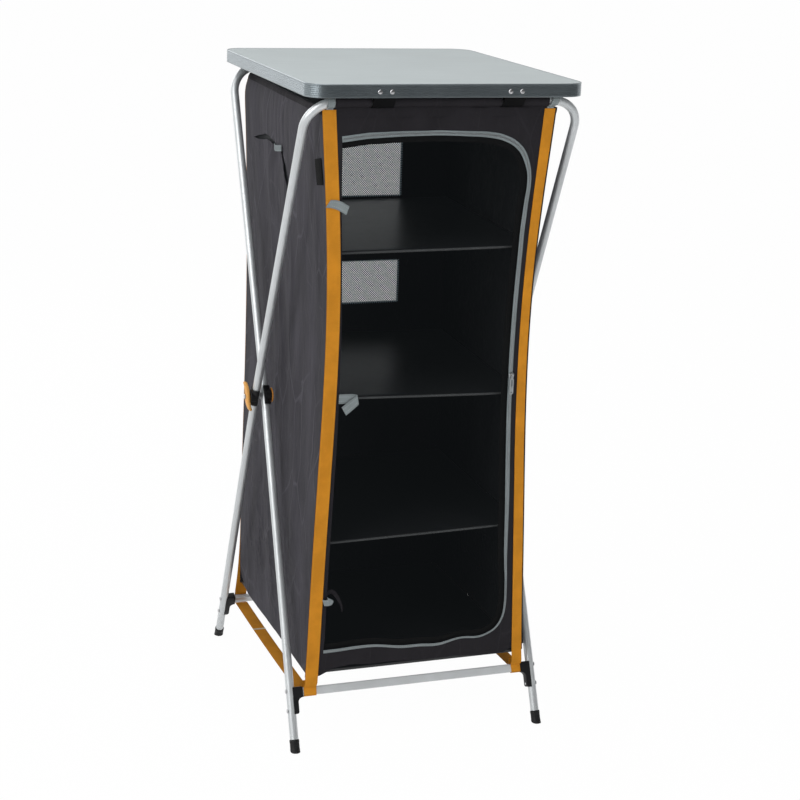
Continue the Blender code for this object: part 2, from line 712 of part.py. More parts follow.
def make_hub(side, hand):
    """Make one side's crossing: both saddles, the pin with its shoulder, the ring and the wing."""
    make_saddle("hub_outer_saddle" + hand, FRAME_A, side, 1)
    make_saddle("hub_inner_saddle" + hand, FRAME_B, side, -1)
    middle = Vector((side * A_HUB_X, HUB.y, HUB.z))
    outward = ACROSS * side
    outer = PIN_REACH + GAP + PIN_HEAD_THICK
    inner = B_HUB_X - A_HUB_X - BOSS_OUT - 2 * GAP - RING_THICK
    shoulder_top = -TUBE_R - GAP
    shoulder_foot = B_HUB_X - A_HUB_X + TUBE_R + GAP
    profile = [(0, outer), (PIN_HEAD_R * 0.7, outer), (PIN_HEAD_R, outer - PIN_HEAD_THICK * 0.6),
               (PIN_HEAD_R, outer - PIN_HEAD_THICK), (PIN_R, outer - PIN_HEAD_THICK),
               (PIN_R, shoulder_top), (PIN_SHOULDER_R, shoulder_top),
               (PIN_SHOULDER_R, shoulder_foot), (PIN_R, shoulder_foot),
               (PIN_R, inner - GAP), (PIN_HEAD_R, inner - GAP),
               (PIN_HEAD_R, inner - GAP - PIN_HEAD_THICK), (0, inner - GAP - PIN_HEAD_THICK)]
    turned("hub_pin" + hand, profile, STEEL, along(middle, outward), HUB_STEPS)
    face = Vector((side * (B_HUB_X - BOSS_OUT - GAP), HUB.y, HUB.z))
    profile = [(PIN_R + GAP, 0), (RING_R - RING_BEVEL, 0), (RING_R, -RING_BEVEL),
               (RING_R, RING_BEVEL - RING_THICK), (RING_R - RING_BEVEL, -RING_THICK),
               (PIN_R + GAP, -RING_THICK), (PIN_R + GAP, 0)]
    turned("hub_ring" + hand, profile, ORANGE, along(face, outward))
    make_wing("lock_wing" + hand, side, middle + outward * (BOSS_OUT + GAP + WING_THICK / 2))


def make_wing(name, side, middle):
    """Make the S-shaped lever outside a hub: it leaves the hub at its top and nears it below."""
    half = WING_LENGTH / 2
    stations = [step / 6 - 1 for step in range(13)]

    def face(lift):
        bends = [(WING_TOP_BEND if share > 0 else WING_FOOT_BEND) * share ** 3 for share in stations]
        return [(share * half, bend + lift) for share, bend in zip(stations, bends)]

    outline = face(-WING_THICK / 2) + face(WING_THICK / 2)[::-1]
    tilted = Matrix.Rotation(WING_TILT, 4, "X")
    wing = plate(name, [outline], 2 * WING_HALF_WIDTH, ORANGE,
                 basis(middle, tilted @ UP, ACROSS * side))
    taper = bmesh.new()
    taper.from_mesh(wing.data)
    for vert in taper.verts:
        share = vert.co.x / half
        vert.co.z *= mixed(WING_HALF_WIDTH, WING_TIP_HALF_WIDTH, share * share) / WING_HALF_WIDTH
    taper.to_mesh(wing.data)
    taper.free()
    bevel(wing, WING_BEVEL)
    hole = rod(name + "_hole", PIN_R + GAP, 4 * WING_THICK, along(middle, ACROSS))
    combine(wing, hole, "DIFFERENCE")


# Fabric body

def height_share(z):
    return (z - BODY_FOOT_Z) / BODY_TALL


def front_y(z):
    return mixed(FRONT_Y_FOOT, FRONT_Y_TOP, height_share(z))


def rear_y(z):
    return mixed(REAR_Y_FOOT, REAR_Y_TOP, height_share(z))


def drawn_in(z, top, waist, foot):
    """Return a half-width at z that is top and foot at the body's ends and least at its waist."""
    end, far = (top, BODY_TOP_Z) if z > WAIST_Z else (foot, BODY_FOOT_Z)
    share = (z - WAIST_Z) / (far - WAIST_Z)
    return mixed(waist, end, share * share)


def strap_x(z):
    """Return how far out the front straps run."""
    return drawn_in(z, STRAP_X_TOP, STRAP_X_WAIST, STRAP_X_FOOT)


def door_x(z):
    """Return how far out the left edge of the door's opening runs, beside its strap."""
    return drawn_in(z, STRAP_X_TOP - DOOR_TOP_INSET, STRAP_X_WAIST - DOOR_WAIST_INSET,
                    STRAP_X_FOOT - DOOR_FOOT_INSET)


def zip_x(z):
    """Return how far out the middle of the zip runs, beside the right strap."""
    return drawn_in(z, STRAP_X_TOP - ZIP_TOP_INSET, STRAP_X_WAIST - ZIP_WAIST_INSET,
                    STRAP_X_FOOT - ZIP_FOOT_INSET)


def front_half(z):
    return strap_x(z) + STRAP_WIDTH / 2


def rear_half(z):
    """Return the half-width of the back: drawn in at its top to pass inside the tube's bends."""
    share = max(0, z - BODY_TOP_Z + REAR_TAPER_TALL) / REAR_TAPER_TALL
    return REAR_HALF - REAR_TAPER * share * share


def side_half(y, z):
    """Return the half-width of the body at y and z, before its folds."""
    share = (y - front_y(z)) / (rear_y(z) - front_y(z))
    return mixed(front_half(z), rear_half(z), share)


FRONT_TILT = Vector((0, front_y(BODY_TOP_Z) - front_y(BODY_FOOT_Z), BODY_TOP_Z - BODY_FOOT_Z))
REAR_TILT = Vector((0, rear_y(BODY_TOP_Z) - rear_y(BODY_FOOT_Z), BODY_TOP_Z - BODY_FOOT_Z))


def front_plane(lift):
    """Return the frame of the front, lift outwards from its cloth's middle: X right, Y up it."""
    out = ACROSS.cross(FRONT_TILT).normalized()
    return basis(Vector((0, front_y(BODY_FOOT_Z), BODY_FOOT_Z)) + out * lift, ACROSS, FRONT_TILT)


def rear_plane(lift):
    out = -ACROSS.cross(REAR_TILT).normalized()
    return basis(Vector((0, rear_y(BODY_FOOT_Z), BODY_FOOT_Z)) + out * lift, -ACROSS, REAR_TILT)


def up_front(z):
    """Return the distance up the front plane to a height."""
    return (z - BODY_FOOT_Z) * FRONT_TILT.length / FRONT_TILT.z


def up_rear(z):
    return (z - BODY_FOOT_Z) * REAR_TILT.length / REAR_TILT.z


def side_fold(y, z, side):
    """Return how far the side's soft upright folds stand out."""
    share = (y - front_y(z)) / (rear_y(z) - front_y(z))
    drift = FOLD_LEAN_SHARE * (z - WAIST_Z) * side
    wave = 0.5 + 0.5 * sin(2 * pi * (y + drift) / FOLD_SPACING)
    swell = 0.5 + 0.5 * sin(2 * pi * (z - side * y) / (4 * FOLD_SPACING))
    ease = sin(pi * min(max(share, 0), 1)) ** 0.5
    height = height_share(z)
    calm = min(1, 12 * height * (1 - height) + 0.15)
    return FOLD_DEPTH * wave * (0.45 + 0.55 * swell) * ease * calm


def vent_sink(y, z):
    """Return how far the flap under the vent's slit is tucked in."""
    away = hypot(y - VENT_CORNER_Y, VENT_Z - z) / VENT_SPREAD
    if z > VENT_Z or y < VENT_CORNER_Y - VENT_REACH or away > 1:
        return 0
    return VENT_SINK * (1 - away) ** 2 * (3 - 2 * (1 - away))


def make_side(name, side, vented):
    def place(u, v):
        z = mixed(BODY_FOOT_Z, BODY_TOP_Z, v)
        y = mixed(front_y(z) + CLOTH / 2 + GAP, rear_y(z) - CLOTH / 2 - GAP, u)
        out = side_half(y, z) + side_fold(y, z, side) - CLOTH / 2
        if vented:
            out -= vent_sink(y, z)
        return Vector((side * out, y, z))

    wall = sheet(name, CLOTH_COLUMNS, CLOTH_ROWS, place, CLOTH, CHARCOAL)
    if vented:
        combine(wall, vent_slit(side), "DIFFERENCE")


def vent_slit(side):
    """Return the crescent that is cut from a side for its vent: along its top, then down."""
    front, foot = VENT_CORNER_Y - VENT_REACH, VENT_Z - VENT_TALL
    knee = mixed(VENT_CORNER_Y, front, VENT_KNEE_SHARE)
    outer = [(VENT_REAR_Y, VENT_Z), (mixed(VENT_REAR_Y, VENT_CORNER_Y, 0.5), VENT_Z + VENT_MOUTH),
             (VENT_CORNER_Y, VENT_Z + VENT_MOUTH / 2),
             (knee, mixed(VENT_Z, foot, VENT_KNEE_DROP_SHARE)), (front, foot)]
    inner = [(knee, mixed(VENT_Z, foot, VENT_KNEE_SHARE)), (VENT_CORNER_Y, VENT_Z - VENT_MOUTH),
             (mixed(VENT_REAR_Y, VENT_CORNER_Y, VENT_KNEE_SHARE), VENT_Z - VENT_MOUTH / 2)]
    middle = Vector((side * REAR_HALF, 0, 0))
    frame = basis(middle, (0, 1, 0), UP)
    slit = curve_object("vent_slit", [outer + inner], BLACK, frame)
    slit.data.fill_mode = "BOTH"
    slit.data.extrude = STRAP_WIDTH
    return shelve(to_mesh(slit))


def body_outline(up, half):
    """Return the outline of the front or the back cloth, with half(z) its half-width."""
    levels = [mixed(BODY_FOOT_Z, BODY_TOP_Z, step / 16) for step in range(17)]
    right = [(half(z), up(z)) for z in levels]
    return right + [(-x, height) for x, height in reversed(right)]


def make_body():
    opening = zip_path(-DOOR_WELT) + left_edge(-DOOR_WELT)
    plate("front_panel", [body_outline(up_front, front_half), opening], CLOTH, DARK, front_plane(0))
    levels = [[up_rear(BODY_FOOT_Z + share * BODY_TALL) for share in shares]
              for shares in WINDOW_SHARES]
    windows = [rounded(-WINDOW_HALF, WINDOW_HALF, low, high, WINDOW_CORNER) for low, high in levels]
    plate("back_panel", [body_outline(up_rear, rear_half)] + windows, CLOTH, CHARCOAL,
          rear_plane(0))
    for label, (low, high) in zip(("upper", "lower"), levels):
        net = rounded(GAP - WINDOW_HALF, WINDOW_HALF - GAP, low + GAP, high - GAP, WINDOW_CORNER - GAP)
        plate("mesh_window_" + label, [net], MESH_THICK, MESH_GREY, rear_plane(0))
    make_side("left_panel", -1, True)
    make_side("right_panel", 1, False)
    make_level("roof_panel", BODY_TOP_Z - CLOTH / 2, CLOTH, CLOTH / 2 + GAP, LINING)
    make_level("floor_panel", BODY_FOOT_Z + FLOOR_THICK / 2, FLOOR_THICK, CLOTH / 2 + GAP, LINING)
    for label, share in zip(("upper", "middle", "lower"), SHELF_SHARES):
        z = BODY_FOOT_Z + share * BODY_TALL
        make_level("shelf_" + label, z - SHELF_THICK / 2, SHELF_THICK, SHELF_SETBACK, LINING, True)


def make_level(name, z, thick, setback, surface, piped=False):
    """Make a level piece that fills the body's plan at z, set back from the front cloth."""
    def edge(y, level):
        return side_half(y, level) - CLOTH - GAP

    low, high = z - thick / 2, z + thick / 2
    front = max(front_y(low), front_y(high)) + setback
    rear = min(rear_y(low), rear_y(high)) - CLOTH / 2 - GAP * 2
    front_edge = min(edge(front, low), edge(front, high)) - GAP
    rear_edge = min(edge(rear, low), edge(rear, high)) - GAP
    outline = [(front_edge, front), (rear_edge, rear), (-rear_edge, rear), (-front_edge, front)]
    board = plate(name, [outline], thick, surface, Matrix.Translation((0, 0, z)))
    if piped:
        lead = Vector((0, front, z + thick / 2 - PIPING_R))
        ends = [lead - ACROSS * front_edge, lead + ACROSS * front_edge]
        combine(board, shelve(tube(name + "_piping", ends, PIPING_R, WEB_GREY)), "UNION")


# Webbing

def webbing(name, path, width, middle_x, surface):
    """Make a band that follows path, points in the YZ plane, centred on middle_x(z)."""
    steps = len(path) - 1

    def place(u, v):
        y, z = path[round(u * steps)]
        return Vector((middle_x(z) + (v - 0.5) * width, y, z))

    return sheet(name, steps, 1, place, WEBBING, surface)


def strap_tail(frame, end, face_y, lift):
    """Return the path of a strap's tail: down, round a crossbar and up to the floor."""
    bar = frame.at(0, frame.t_at_height(BAR_Z))
    off = GAP + WEBBING / 2
    deep, high = BAR_DEEP / 2 + off, BAR_HIGH / 2 + off
    out = frame.normal if frame.normal.y * end > 0 else -frame.normal
    down = frame.down
    turn = BAR_ROUND
    points = [bar + out * deep - down * (high - turn), bar + out * deep + down * (high - turn)]
    points += [bar + out * (deep - turn) + down * high, bar - out * (deep - turn) + down * high]
    points += [bar - out * deep + down * (high - turn), bar - out * deep - down * (high - turn)]
    knee = BODY_FOOT_Z - STRAP_TAIL
    inner = points[-1].y - end * WEBBING
    path = [(face_y(BODY_FOOT_Z) + end * lift, knee)] + [(p.y, p.z) for p in points]
    return path + [(inner, knee), (inner - end * WEBBING, BODY_FOOT_Z - WEBBING)]


def tail_x(z):
    """Return how far out a front strap runs, its tail straight down beside the bracket."""
    return strap_x(max(z, BODY_FOOT_Z))


def make_straps():
    lift = CLOTH / 2 + GAP + WEBBING / 2
    for side, hand in ((-1, "_left"), (1, "_right")):
        levels = [mixed(STRAP_TOP_Z, BODY_FOOT_Z + WEBBING, step / 14) for step in range(15)]
        path = [(front_y(z) - lift, z) for z in levels] + strap_tail(FRAME_B, -1, front_y, lift)
        webbing("front_strap" + hand, path, STRAP_WIDTH, lambda z, s=side: s * tail_x(z), WEB_ORANGE)
        path = [(rear_y(z) + lift, z) for z in levels[::7]] + strap_tail(FRAME_A, 1, rear_y, lift)
        rear_x = side * (REAR_HALF - REAR_STRAP_INSET)
        webbing("rear_strap" + hand, path, STRAP_WIDTH, lambda z, x=rear_x: x, WEB_ORANGE)
        make_bottom_strap("bottom_strap" + hand, side)
        make_loop("front_loop" + hand, side * STRAP_X_TOP, FRONT_TUBE_Y, -1, front_y)
        make_loop("rear_loop" + hand, side * (REAR_HALF - REAR_LOOP_INSET), REAR_TUBE_Y, 1, rear_y)


def make_bottom_strap(name, side):
    """Make the strap under the floor that runs between the two crossbars, beside their brackets."""
    ends = []
    for frame, end in ((FRAME_B, 1), (FRAME_A, -1)):
        bar = frame.at(0, frame.t_at_height(BAR_Z))
        stop = BRACKET_DEEP / 2 + GAP + WEBBING / 2 * abs(frame.down.y)
        ends.append((bar.y + end * stop / abs(frame.normal.y), bar.z))
    webbing(name, ends, STRAP_WIDTH, lambda z: side * BOTTOM_STRAP_X, WEB_ORANGE)


def make_loop(name, x, tube_y, end, face_y):
    """Make the grey loop that hangs a corner of the body from a top tube."""
    radius = TUBE_R + LOOP_SLACK + WEBBING / 2
    lift = CLOTH / 2 + 2 * GAP + WEBBING * 1.5
    path = [(face_y(z) + end * lift, z) for z in (STRAP_TOP_Z - LOOP_TAIL, STRAP_TOP_Z)]
    for step in range(9):
        angle = mixed(-LOOP_UNDER, pi, step / 8)
        path.append((tube_y + end * radius * cos(angle), TOP_TUBE_Z + radius * sin(angle)))
    path.append((tube_y - end * TUBE_R, BODY_TOP_Z + 2 * GAP))
    webbing(name, path, LOOP_WIDTH, lambda z: x, WEB_GREY)


def make_sleeve(name, tube_y, end, face_y):
    """Make the hem that holds the body to a top tube, open where the clips grip the tube."""
    inner = TUBE_R + GAP
    outer = inner + SLEEVE_CLOTH
    near = face_y(BODY_TOP_Z) - tube_y + end * (CLOTH / 2 + GAP)
    far = near + end * SLEEVE_CLOTH
    hem = BODY_TOP_Z - SLEEVE_TAIL
    foot = hem - TOP_TUBE_Z
    near_angle, far_angle = asin(near / outer), asin(far / outer)
    slant = face_y(hem) - face_y(BODY_TOP_Z)
    start, stop = -pi / 2 + max(near_angle, far_angle), 3 * pi / 2 + min(near_angle, far_angle)
    outline = arc((0, 0), outer, start, stop, TURN_STEPS)
    low = [(far + slant, foot), (near + slant, foot)]
    outline += low if far < near else low[::-1]
    hole = arc((0, 0), inner, 0, 2 * pi, TURN_STEPS)[:-1]
    frame = basis(Vector((0, tube_y, TOP_TUBE_Z)), (0, 1, 0), UP)
    sleeve = plate(name, [outline, hole], 2 * SLEEVE_HALF, DARK, frame)
    for side in (-1, 1):
        wide = CLIP_WIDTH + 2 * OVERRUN
        tall = 4 * TUBE_R
        foot = TOP_TUBE_Z - TUBE_R - GAP - CLIP_WALL - OVERRUN / 4
        spot = Vector((side * CLIP_X, tube_y, foot + tall / 2))
        combine(sleeve, box(name + "_notch", (wide, tall, tall), Matrix.Translation(spot)), "DIFFERENCE")


# Zip, rolled door and small fabric pieces

def zip_path(offset):
    """Return the zip's path on the front plane, moved by offset away from the opening's middle."""
    foot, top = ZIP_FOOT_Z - offset, ZIP_TOP_Z + offset
    low, high = foot + ZIP_FOOT_CORNER, top - ZIP_TOP_CORNER
    centre = (zip_x(low) + offset - ZIP_FOOT_CORNER, low)
    path = [(-door_x(foot), foot)] + arc(centre, ZIP_FOOT_CORNER, -pi / 2, 0, 6)
    for step in range(1, 10):
        z = mixed(low, high, step / 10)
        path.append((zip_x(z) + offset, z))
    centre = (zip_x(high) + offset - ZIP_TOP_CORNER, high)
    path += arc(centre, ZIP_TOP_CORNER, 0, pi / 2, 8) + [(-door_x(top), top)]
    return [(x, up_front(z)) for x, z in path]


def left_edge(offset):
    """Return the inner points of the opening's left edge, from its top down."""
    levels = [mixed(ZIP_TOP_Z + offset, ZIP_FOOT_Z - offset, step / 8) for step in range(1, 8)]
    return [(-door_x(z), up_front(z)) for z in levels]


def make_zip():
    lift = CLOTH / 2 + GAP + ZIP_THICK / 2
    tape = zip_path(ZIP_WIDTH / 2) + zip_path(-ZIP_WIDTH / 2)[::-1]
    plate("zip_tape", [tape], ZIP_THICK, WEB_GREY, front_plane(lift))
    plane = front_plane(lift + ZIP_THICK / 2 + GAP + SLIDER_THICK / 2)
    height = mixed(ZIP_FOOT_Z, ZIP_TOP_Z, SLIDER_SHARE)
    spot = plane @ Vector((zip_x(height), up_front(height), 0))
    frame = plane.copy()
    frame.translation = spot
    half, tall = SLIDER_WIDTH / 2, SLIDER_LENGTH / 2
    shape = [(half * across, tall * up) for across, up in SLIDER_OUTLINE_SHARES]
    slider = plate("zip_slider", [shape], SLIDER_THICK, ZINC, frame)
    bevel(slider, SLIDER_BEVEL, 2)
    lift = SLIDER_THICK / 2 + PULL_KNUCKLE_R + GAP
    tall = lift + PULL_EYE_R
    eye = frame @ Vector((0, 0, lift))
    span = ACROSS * half * SLIDER_BRIDGE_SHARE
    bridge = tube("slider_bridge", [eye - span, eye + span], PULL_EYE_R - GAP, ZINC)
    combine(slider, shelve(bridge), "UNION")
    for side in (-1, 1):
        foot = frame @ Vector((side * half * SLIDER_POST_SHARE, 0, tall / 2))
        post = box("slider_post", (SLIDER_POST_THICK, SLIDER_POST_LONG, tall),
                   Matrix.Translation(foot) @ frame.to_3x3().to_4x4())
        combine(slider, post, "UNION")
    make_pull(eye)
    return spot, eye


def make_pull(eye):
    """Make the pull tab that hangs on the slider's bridge, with its eye and two holes."""
    half = PULL_WIDTH / 2
    neck = half * PULL_NECK_SHARE
    eye_ring = PULL_KNUCKLE_R
    below, shoulder = -eye_ring * PULL_NECK_LONG_SHARE, -eye_ring * PULL_SHOULDER_SHARE
    outline = [(-neck, eye_ring), (-neck, below), (-half, shoulder)]
    outline += arc((0, half - PULL_LENGTH), half, pi, 2 * pi, 8)
    outline += [(half, shoulder), (neck, below), (neck, eye_ring)]
    wide, foot = half * PULL_SLOT_WIDTH_SHARE, -PULL_LENGTH * PULL_SLOT_FOOT_SHARE
    slot = rounded(-wide, wide, foot, PULL_SLOT - PULL_LENGTH, wide - GAP, 3)
    frame = basis(eye, ACROSS, UP)
    pull = plate("zip_pull", [outline, slot], PULL_THICK, ZINC, frame)
    knuckle = turned("pull_knuckle", [(0, neck), (eye_ring, neck), (eye_ring, -neck), (0, -neck)],
                     ZINC, along(eye, ACROSS))
    combine(pull, shelve(knuckle), "UNION")
    combine(pull, rod("pull_eye", PULL_EYE_R, 4 * neck, along(eye, ACROSS)), "DIFFERENCE")


def make_rolled_door():
    """Make the open door, rolled up flat and tucked behind the left edge of the opening."""
    low, high = ZIP_FOOT_Z, ZIP_TOP_Z
    behind = CLOTH / 2 + 2 * GAP + ROLL_CLOTH / 2 + ROLL_HALF_DEPTH
    beside = CLOTH + 3 * GAP + ROLL_CLOTH / 2 + ROLL_HALF_WIDTH

    def place(u, v):
        turn = round(u * ROLL_STEPS) / ROLL_STEPS * ROLL_TURNS
        shrink = turn * ROLL_PITCH
        angle = 2 * pi * turn
        z = mixed(low, high, v)
        x = (ROLL_HALF_WIDTH - shrink) * cos(angle) - front_half(z) + beside
        y = front_y(z) + behind + (ROLL_HALF_DEPTH - shrink) * sin(angle)
        return Vector((x, y, z))

    sheet("rolled_door", ROLL_STEPS, 4, place, ROLL_CLOTH, DARK)


def make_ties():
    """Make the door's three ties: a strip over the left strap, a folded loop and a small curl."""
    plane = front_plane(CLOTH / 2 + 2 * GAP + WEBBING * 1.5)
    strip_z, loop_z, curl_z = (BODY_FOOT_Z + share * BODY_TALL for share in TIE_SHARES)
    left = -strap_x(strip_z) - TIE_LENGTH / 2
    seam = STRAP_WIDTH / 2 + 2 * GAP

    def strip(u, v):
        rise = (u - 0.5) * TIE_LENGTH * TIE_SLOPE_SHARE + (v - 0.5) * TIE_WIDTH
        bulge = GAP * sin(pi * u)
        return plane @ Vector((left + u * TIE_LENGTH, up_front(strip_z) + rise, bulge))

    def loop(u, v):
        turn = min(max(u * 2 * TIE_LOOP_LONG / TIE_LOOP_R - TIE_LOOP_LONG / TIE_LOOP_R, -pi / 2), pi / 2)
        run = TIE_LOOP_LONG * (1 - abs(2 * u - 1)) + TIE_LOOP_R * cos(turn)
        lean = TIE_LOOP_LEAN * u * u
        lift = TIE_LOOP_R * (1 + sin(turn))
        wide = (v - 0.5) * TIE_WIDTH
        spot = Vector((seam - strap_x(loop_z) + run - wide * sin(lean),
                       up_front(loop_z) - TIE_LOOP_DROP * u * u + wide * cos(lean), lift))
        return plane @ spot

    def curl(u, v):
        angle = u * TIE_CURL_TURN
        run = TIE_CURL_R * sin(angle)
        lift = TIE_CURL_R * (1 - cos(angle)) * 0.5
        rise = (v - 0.5) * TIE_CURL_WIDTH - angle * WEBBING
        return plane @ Vector((seam - strap_x(curl_z) + run, up_front(curl_z) + rise, lift))

    sheet("door_tie_upper", 8, 1, strip, WEBBING, WEB_GREY)
    sheet("door_tie_middle", 24, 1, loop, WEBBING, WEB_GREY)
    sheet("door_tie_lower", 12, 1, curl, WEBBING, WEB_GREY)


def make_side_details():
    """Make the vent's pull tab, and the blank tag that stands out of the front's left seam."""
    wall = bpy.data.objects["left_panel"]

    def tab(u, v):
        y = VENT_CORNER_Y + (v - 0.5) * VENT_TAB
        top = VENT_Z + VENT_MOUTH + VENT_SEAM
        seam = Vector((-TOP_WIDTH, y, max(top - u * VENT_TAB, top - VENT_SEAM)))
        found = wall.matrix_world @ wall.ray_cast(wall.matrix_world.inverted() @ seam, ACROSS)[1]
        lift = GAP + WEBBING / 2 + WEBBING * sin(pi * u)
        return Vector((found.x - lift, y, top - u * VENT_TAB))

    sheet("vent_tab", 4, 4, tab, WEBBING, WEB_GREY)

    def tag(u, v):
        z = BODY_TOP_Z - TAG_DROP + (v - 0.5) * TAG_HEIGHT
        return Vector((-front_half(z) - 2 * GAP - u * TAG_WIDTH, front_y(z), z))

    sheet("side_tag", 2, 2, tag, TAG_THICK, BLACK)


def carry(label, axis, starts):
    """Parent the pieces whose names begin with one of starts to an empty on their joint's axis."""
    bpy.context.view_layer.update()
    pivot = bpy.data.objects.new(label, None)
    PARTS.objects.link(pivot)
    pivot.location = axis
    for piece in PARTS.objects:
        if piece != pivot and piece.name.startswith(starts):
            piece.parent = pivot
            piece.matrix_parent_inverse = Matrix.Translation(-Vector(axis))


make_tabletop()
make_frame("a", FRAME_A, "rear")
make_frame("b", FRAME_B, "front")
make_hub(-1, "_left")
make_hub(1, "_right")
make_body()
make_straps()
make_sleeve("front_sleeve", FRONT_TUBE_Y, -1, front_y)
make_sleeve("rear_sleeve", REAR_TUBE_Y, 1, rear_y)
SLIDER_SPOT, EYE_SPOT = make_zip()
make_rolled_door()
make_ties()
make_side_details()
carry("frame_a_axis", HUB, ("frame_a_", "foot_cap_rear_", "rear_bracket_", "rear_crossbar", "hub_outer_",
                            "hub_pin_"))
carry("frame_b_axis", HUB, ("frame_b_", "foot_cap_front_", "front_bracket_", "front_crossbar",
                            "hub_inner_", "hub_ring_"))
carry("tabletop_axis", (0, FRONT_TUBE_Y, TOP_TUBE_Z), ("top_", "front_hinge_", "rear_hook_"))
carry("left_wing_axis", (-A_HUB_X, HUB.y, HUB.z), ("lock_wing_left",))
carry("right_wing_axis", (A_HUB_X, HUB.y, HUB.z), ("lock_wing_right",))
carry("slider_axis", SLIDER_SPOT, ("zip_slider",))
carry("pull_axis", EYE_SPOT, ("zip_pull",))
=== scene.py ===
"""Looks for the fabric camp kitchen cupboard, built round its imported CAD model.

Metres, +Z up, +X to the right of someone facing the door, -Y towards that person. The origin is
on the floor under the middle of the tabletop, as in the CAD model.
"""

import json
from math import asin, cos, hypot, pi, radians, sin

import bmesh
import bpy
import numpy as np
from mathutils import Matrix, Vector


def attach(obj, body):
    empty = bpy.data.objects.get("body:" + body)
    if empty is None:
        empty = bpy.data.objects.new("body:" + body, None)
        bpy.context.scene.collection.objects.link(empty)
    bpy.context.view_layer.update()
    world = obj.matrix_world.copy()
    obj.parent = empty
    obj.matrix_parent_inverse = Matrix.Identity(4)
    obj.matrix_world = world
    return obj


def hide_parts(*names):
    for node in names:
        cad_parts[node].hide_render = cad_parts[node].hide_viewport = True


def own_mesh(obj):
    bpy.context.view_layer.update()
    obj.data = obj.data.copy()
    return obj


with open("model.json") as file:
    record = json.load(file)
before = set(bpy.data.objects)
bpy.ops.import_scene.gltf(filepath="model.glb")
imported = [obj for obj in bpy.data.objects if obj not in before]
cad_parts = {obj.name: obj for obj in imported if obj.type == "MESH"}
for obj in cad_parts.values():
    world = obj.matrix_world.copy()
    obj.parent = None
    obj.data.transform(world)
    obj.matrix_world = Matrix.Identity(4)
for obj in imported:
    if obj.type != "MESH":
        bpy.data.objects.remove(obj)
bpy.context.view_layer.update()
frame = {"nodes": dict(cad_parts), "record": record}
BODY_OF = {node: body for body, nodes in frame["record"]["behaviour"]["bodies"].items() for node in nodes}

# The CAD model's sizes, as its source has them
GAP = 0.0003
TOP_WIDTH = 0.520
TOP_DEPTH = 0.600
TOP_HEIGHT = 1.2585
TOP_CORNER = 0.039
RIM_HEIGHT = 0.024
RIM_WALL = 0.0026
LEDGE_DROP = 0.0050
LEDGE_WIDTH = 0.0110
LEDGE_THICK = 0.0016
PANEL_THICK = 0.0045
TUBE_R = 0.008
BEND_R = 0.055
FRONT_TUBE_Y = -0.2790
REAR_TUBE_Y = 0.2685
FRONT_FOOT_Y = -0.2790
REAR_FOOT_Y = 0.2880
A_HUB_X = 0.2625
B_HUB_X = 0.2435
A_END_X = 0.2565
B_END_X = 0.2485
TUBE_LIFT = 0.006
TOP_TUBE_Z = 1.2262
HUB = Vector((0, -0.000460, 0.623827))
CAP_R = 0.0094
CAP_HEIGHT = 0.022
BAR_Z = 0.100
BAR_HIGH = 0.016
BAR_DEEP = 0.010
BAR_ROUND = 0.0022
BRACKET_DEEP = 0.0155
BRACKET_RISE = 0.0105
BRACKET_SOLE = 0.0096
BRACKET_ELBOW = 0.0185
BRACKET_DROP = 0.0402
BRACKET_PAD = 0.0130
BRACKET_REACH = 0.0230
BRACKET_FOOT_R = 0.0042
SOCKET_FLOOR = 0.0125
KNEE_RIVETS = (0.0035, -0.0335)
SADDLE_OUT = 0.0112
WING_LENGTH = 0.058
WING_HALF_WIDTH = 0.0080
WING_TIP_HALF_WIDTH = 0.0030
WING_TOP_BEND = 0.0045
WING_FOOT_BEND = 0.0055
WING_THICK = 0.0090
WING_TILT = radians(-14.0)
CLIP_X = 0.1215
CLIP_WIDTH = 0.040
CLIP_WALL = 0.0026
CLIP_RIVET_SPACING = 0.022
CLIP_RIVET_DROP = 0.0135
CLOTH = 0.0016
BODY_TOP_Z = 1.2140
BODY_FOOT_Z = 0.1370
BODY_TALL = BODY_TOP_Z - BODY_FOOT_Z
FRONT_Y_TOP = -0.2748
FRONT_Y_FOOT = -0.2400
REAR_Y_TOP = 0.2650
REAR_Y_FOOT = 0.2400
REAR_HALF = 0.223
WAIST_Z = BODY_FOOT_Z + 0.57 * BODY_TALL
WEBBING = 0.0012
STRAP_WIDTH = 0.025
STRAP_TOP_Z = BODY_TOP_Z - 0.0050
STRAP_TAIL = 0.018
BOTTOM_STRAP_X = 0.2205
LOOP_WIDTH = 0.0135
SLEEVE_ENDS = ((-0.2080, 0.1915), (-0.1890, 0.1890))
SLEEVE_CLOTH = 0.0013
SLEEVE_TAIL = 0.0150
SHELF_SHARES = (0.761, 0.503, 0.246)
SHELF_THICK = 0.0050
FLOOR_THICK = 0.0060
SHELF_SETBACK = 0.0200
SHELF_TILTS = (0.0010, -0.0055, 0.0040)
PIPING_R = 0.0018
DOOR_WELT = 0.0115
ZIP_WIDTH = 0.0090
ZIP_TOP_Z = BODY_TOP_Z - 0.0450
ZIP_FOOT_Z = BODY_FOOT_Z + 0.0450
SLIDER_WIDTH, SLIDER_LENGTH, SLIDER_THICK = 0.0110, 0.0140, 0.0036
PULL_LENGTH, PULL_WIDTH, PULL_THICK, PULL_EYE_R = 0.034, 0.0080, 0.0014, 0.0012
EYE_LIFT = 0.0025
EYE_SPOT = Vector((0.1586, -0.2675, 0.7117))
WINDOW_HALF = 0.115
WINDOW_SHARES = ((0.764, 0.917), (0.555, 0.641))
WINDOW_CORNER = 0.003
TIE_WIDTH = 0.0130
TIE_SHARES = (0.840, 0.510, 0.140)
VENT_CORNER_Y = 0.0300
VENT_REACH = 0.0740
VENT_Z = 1.1000

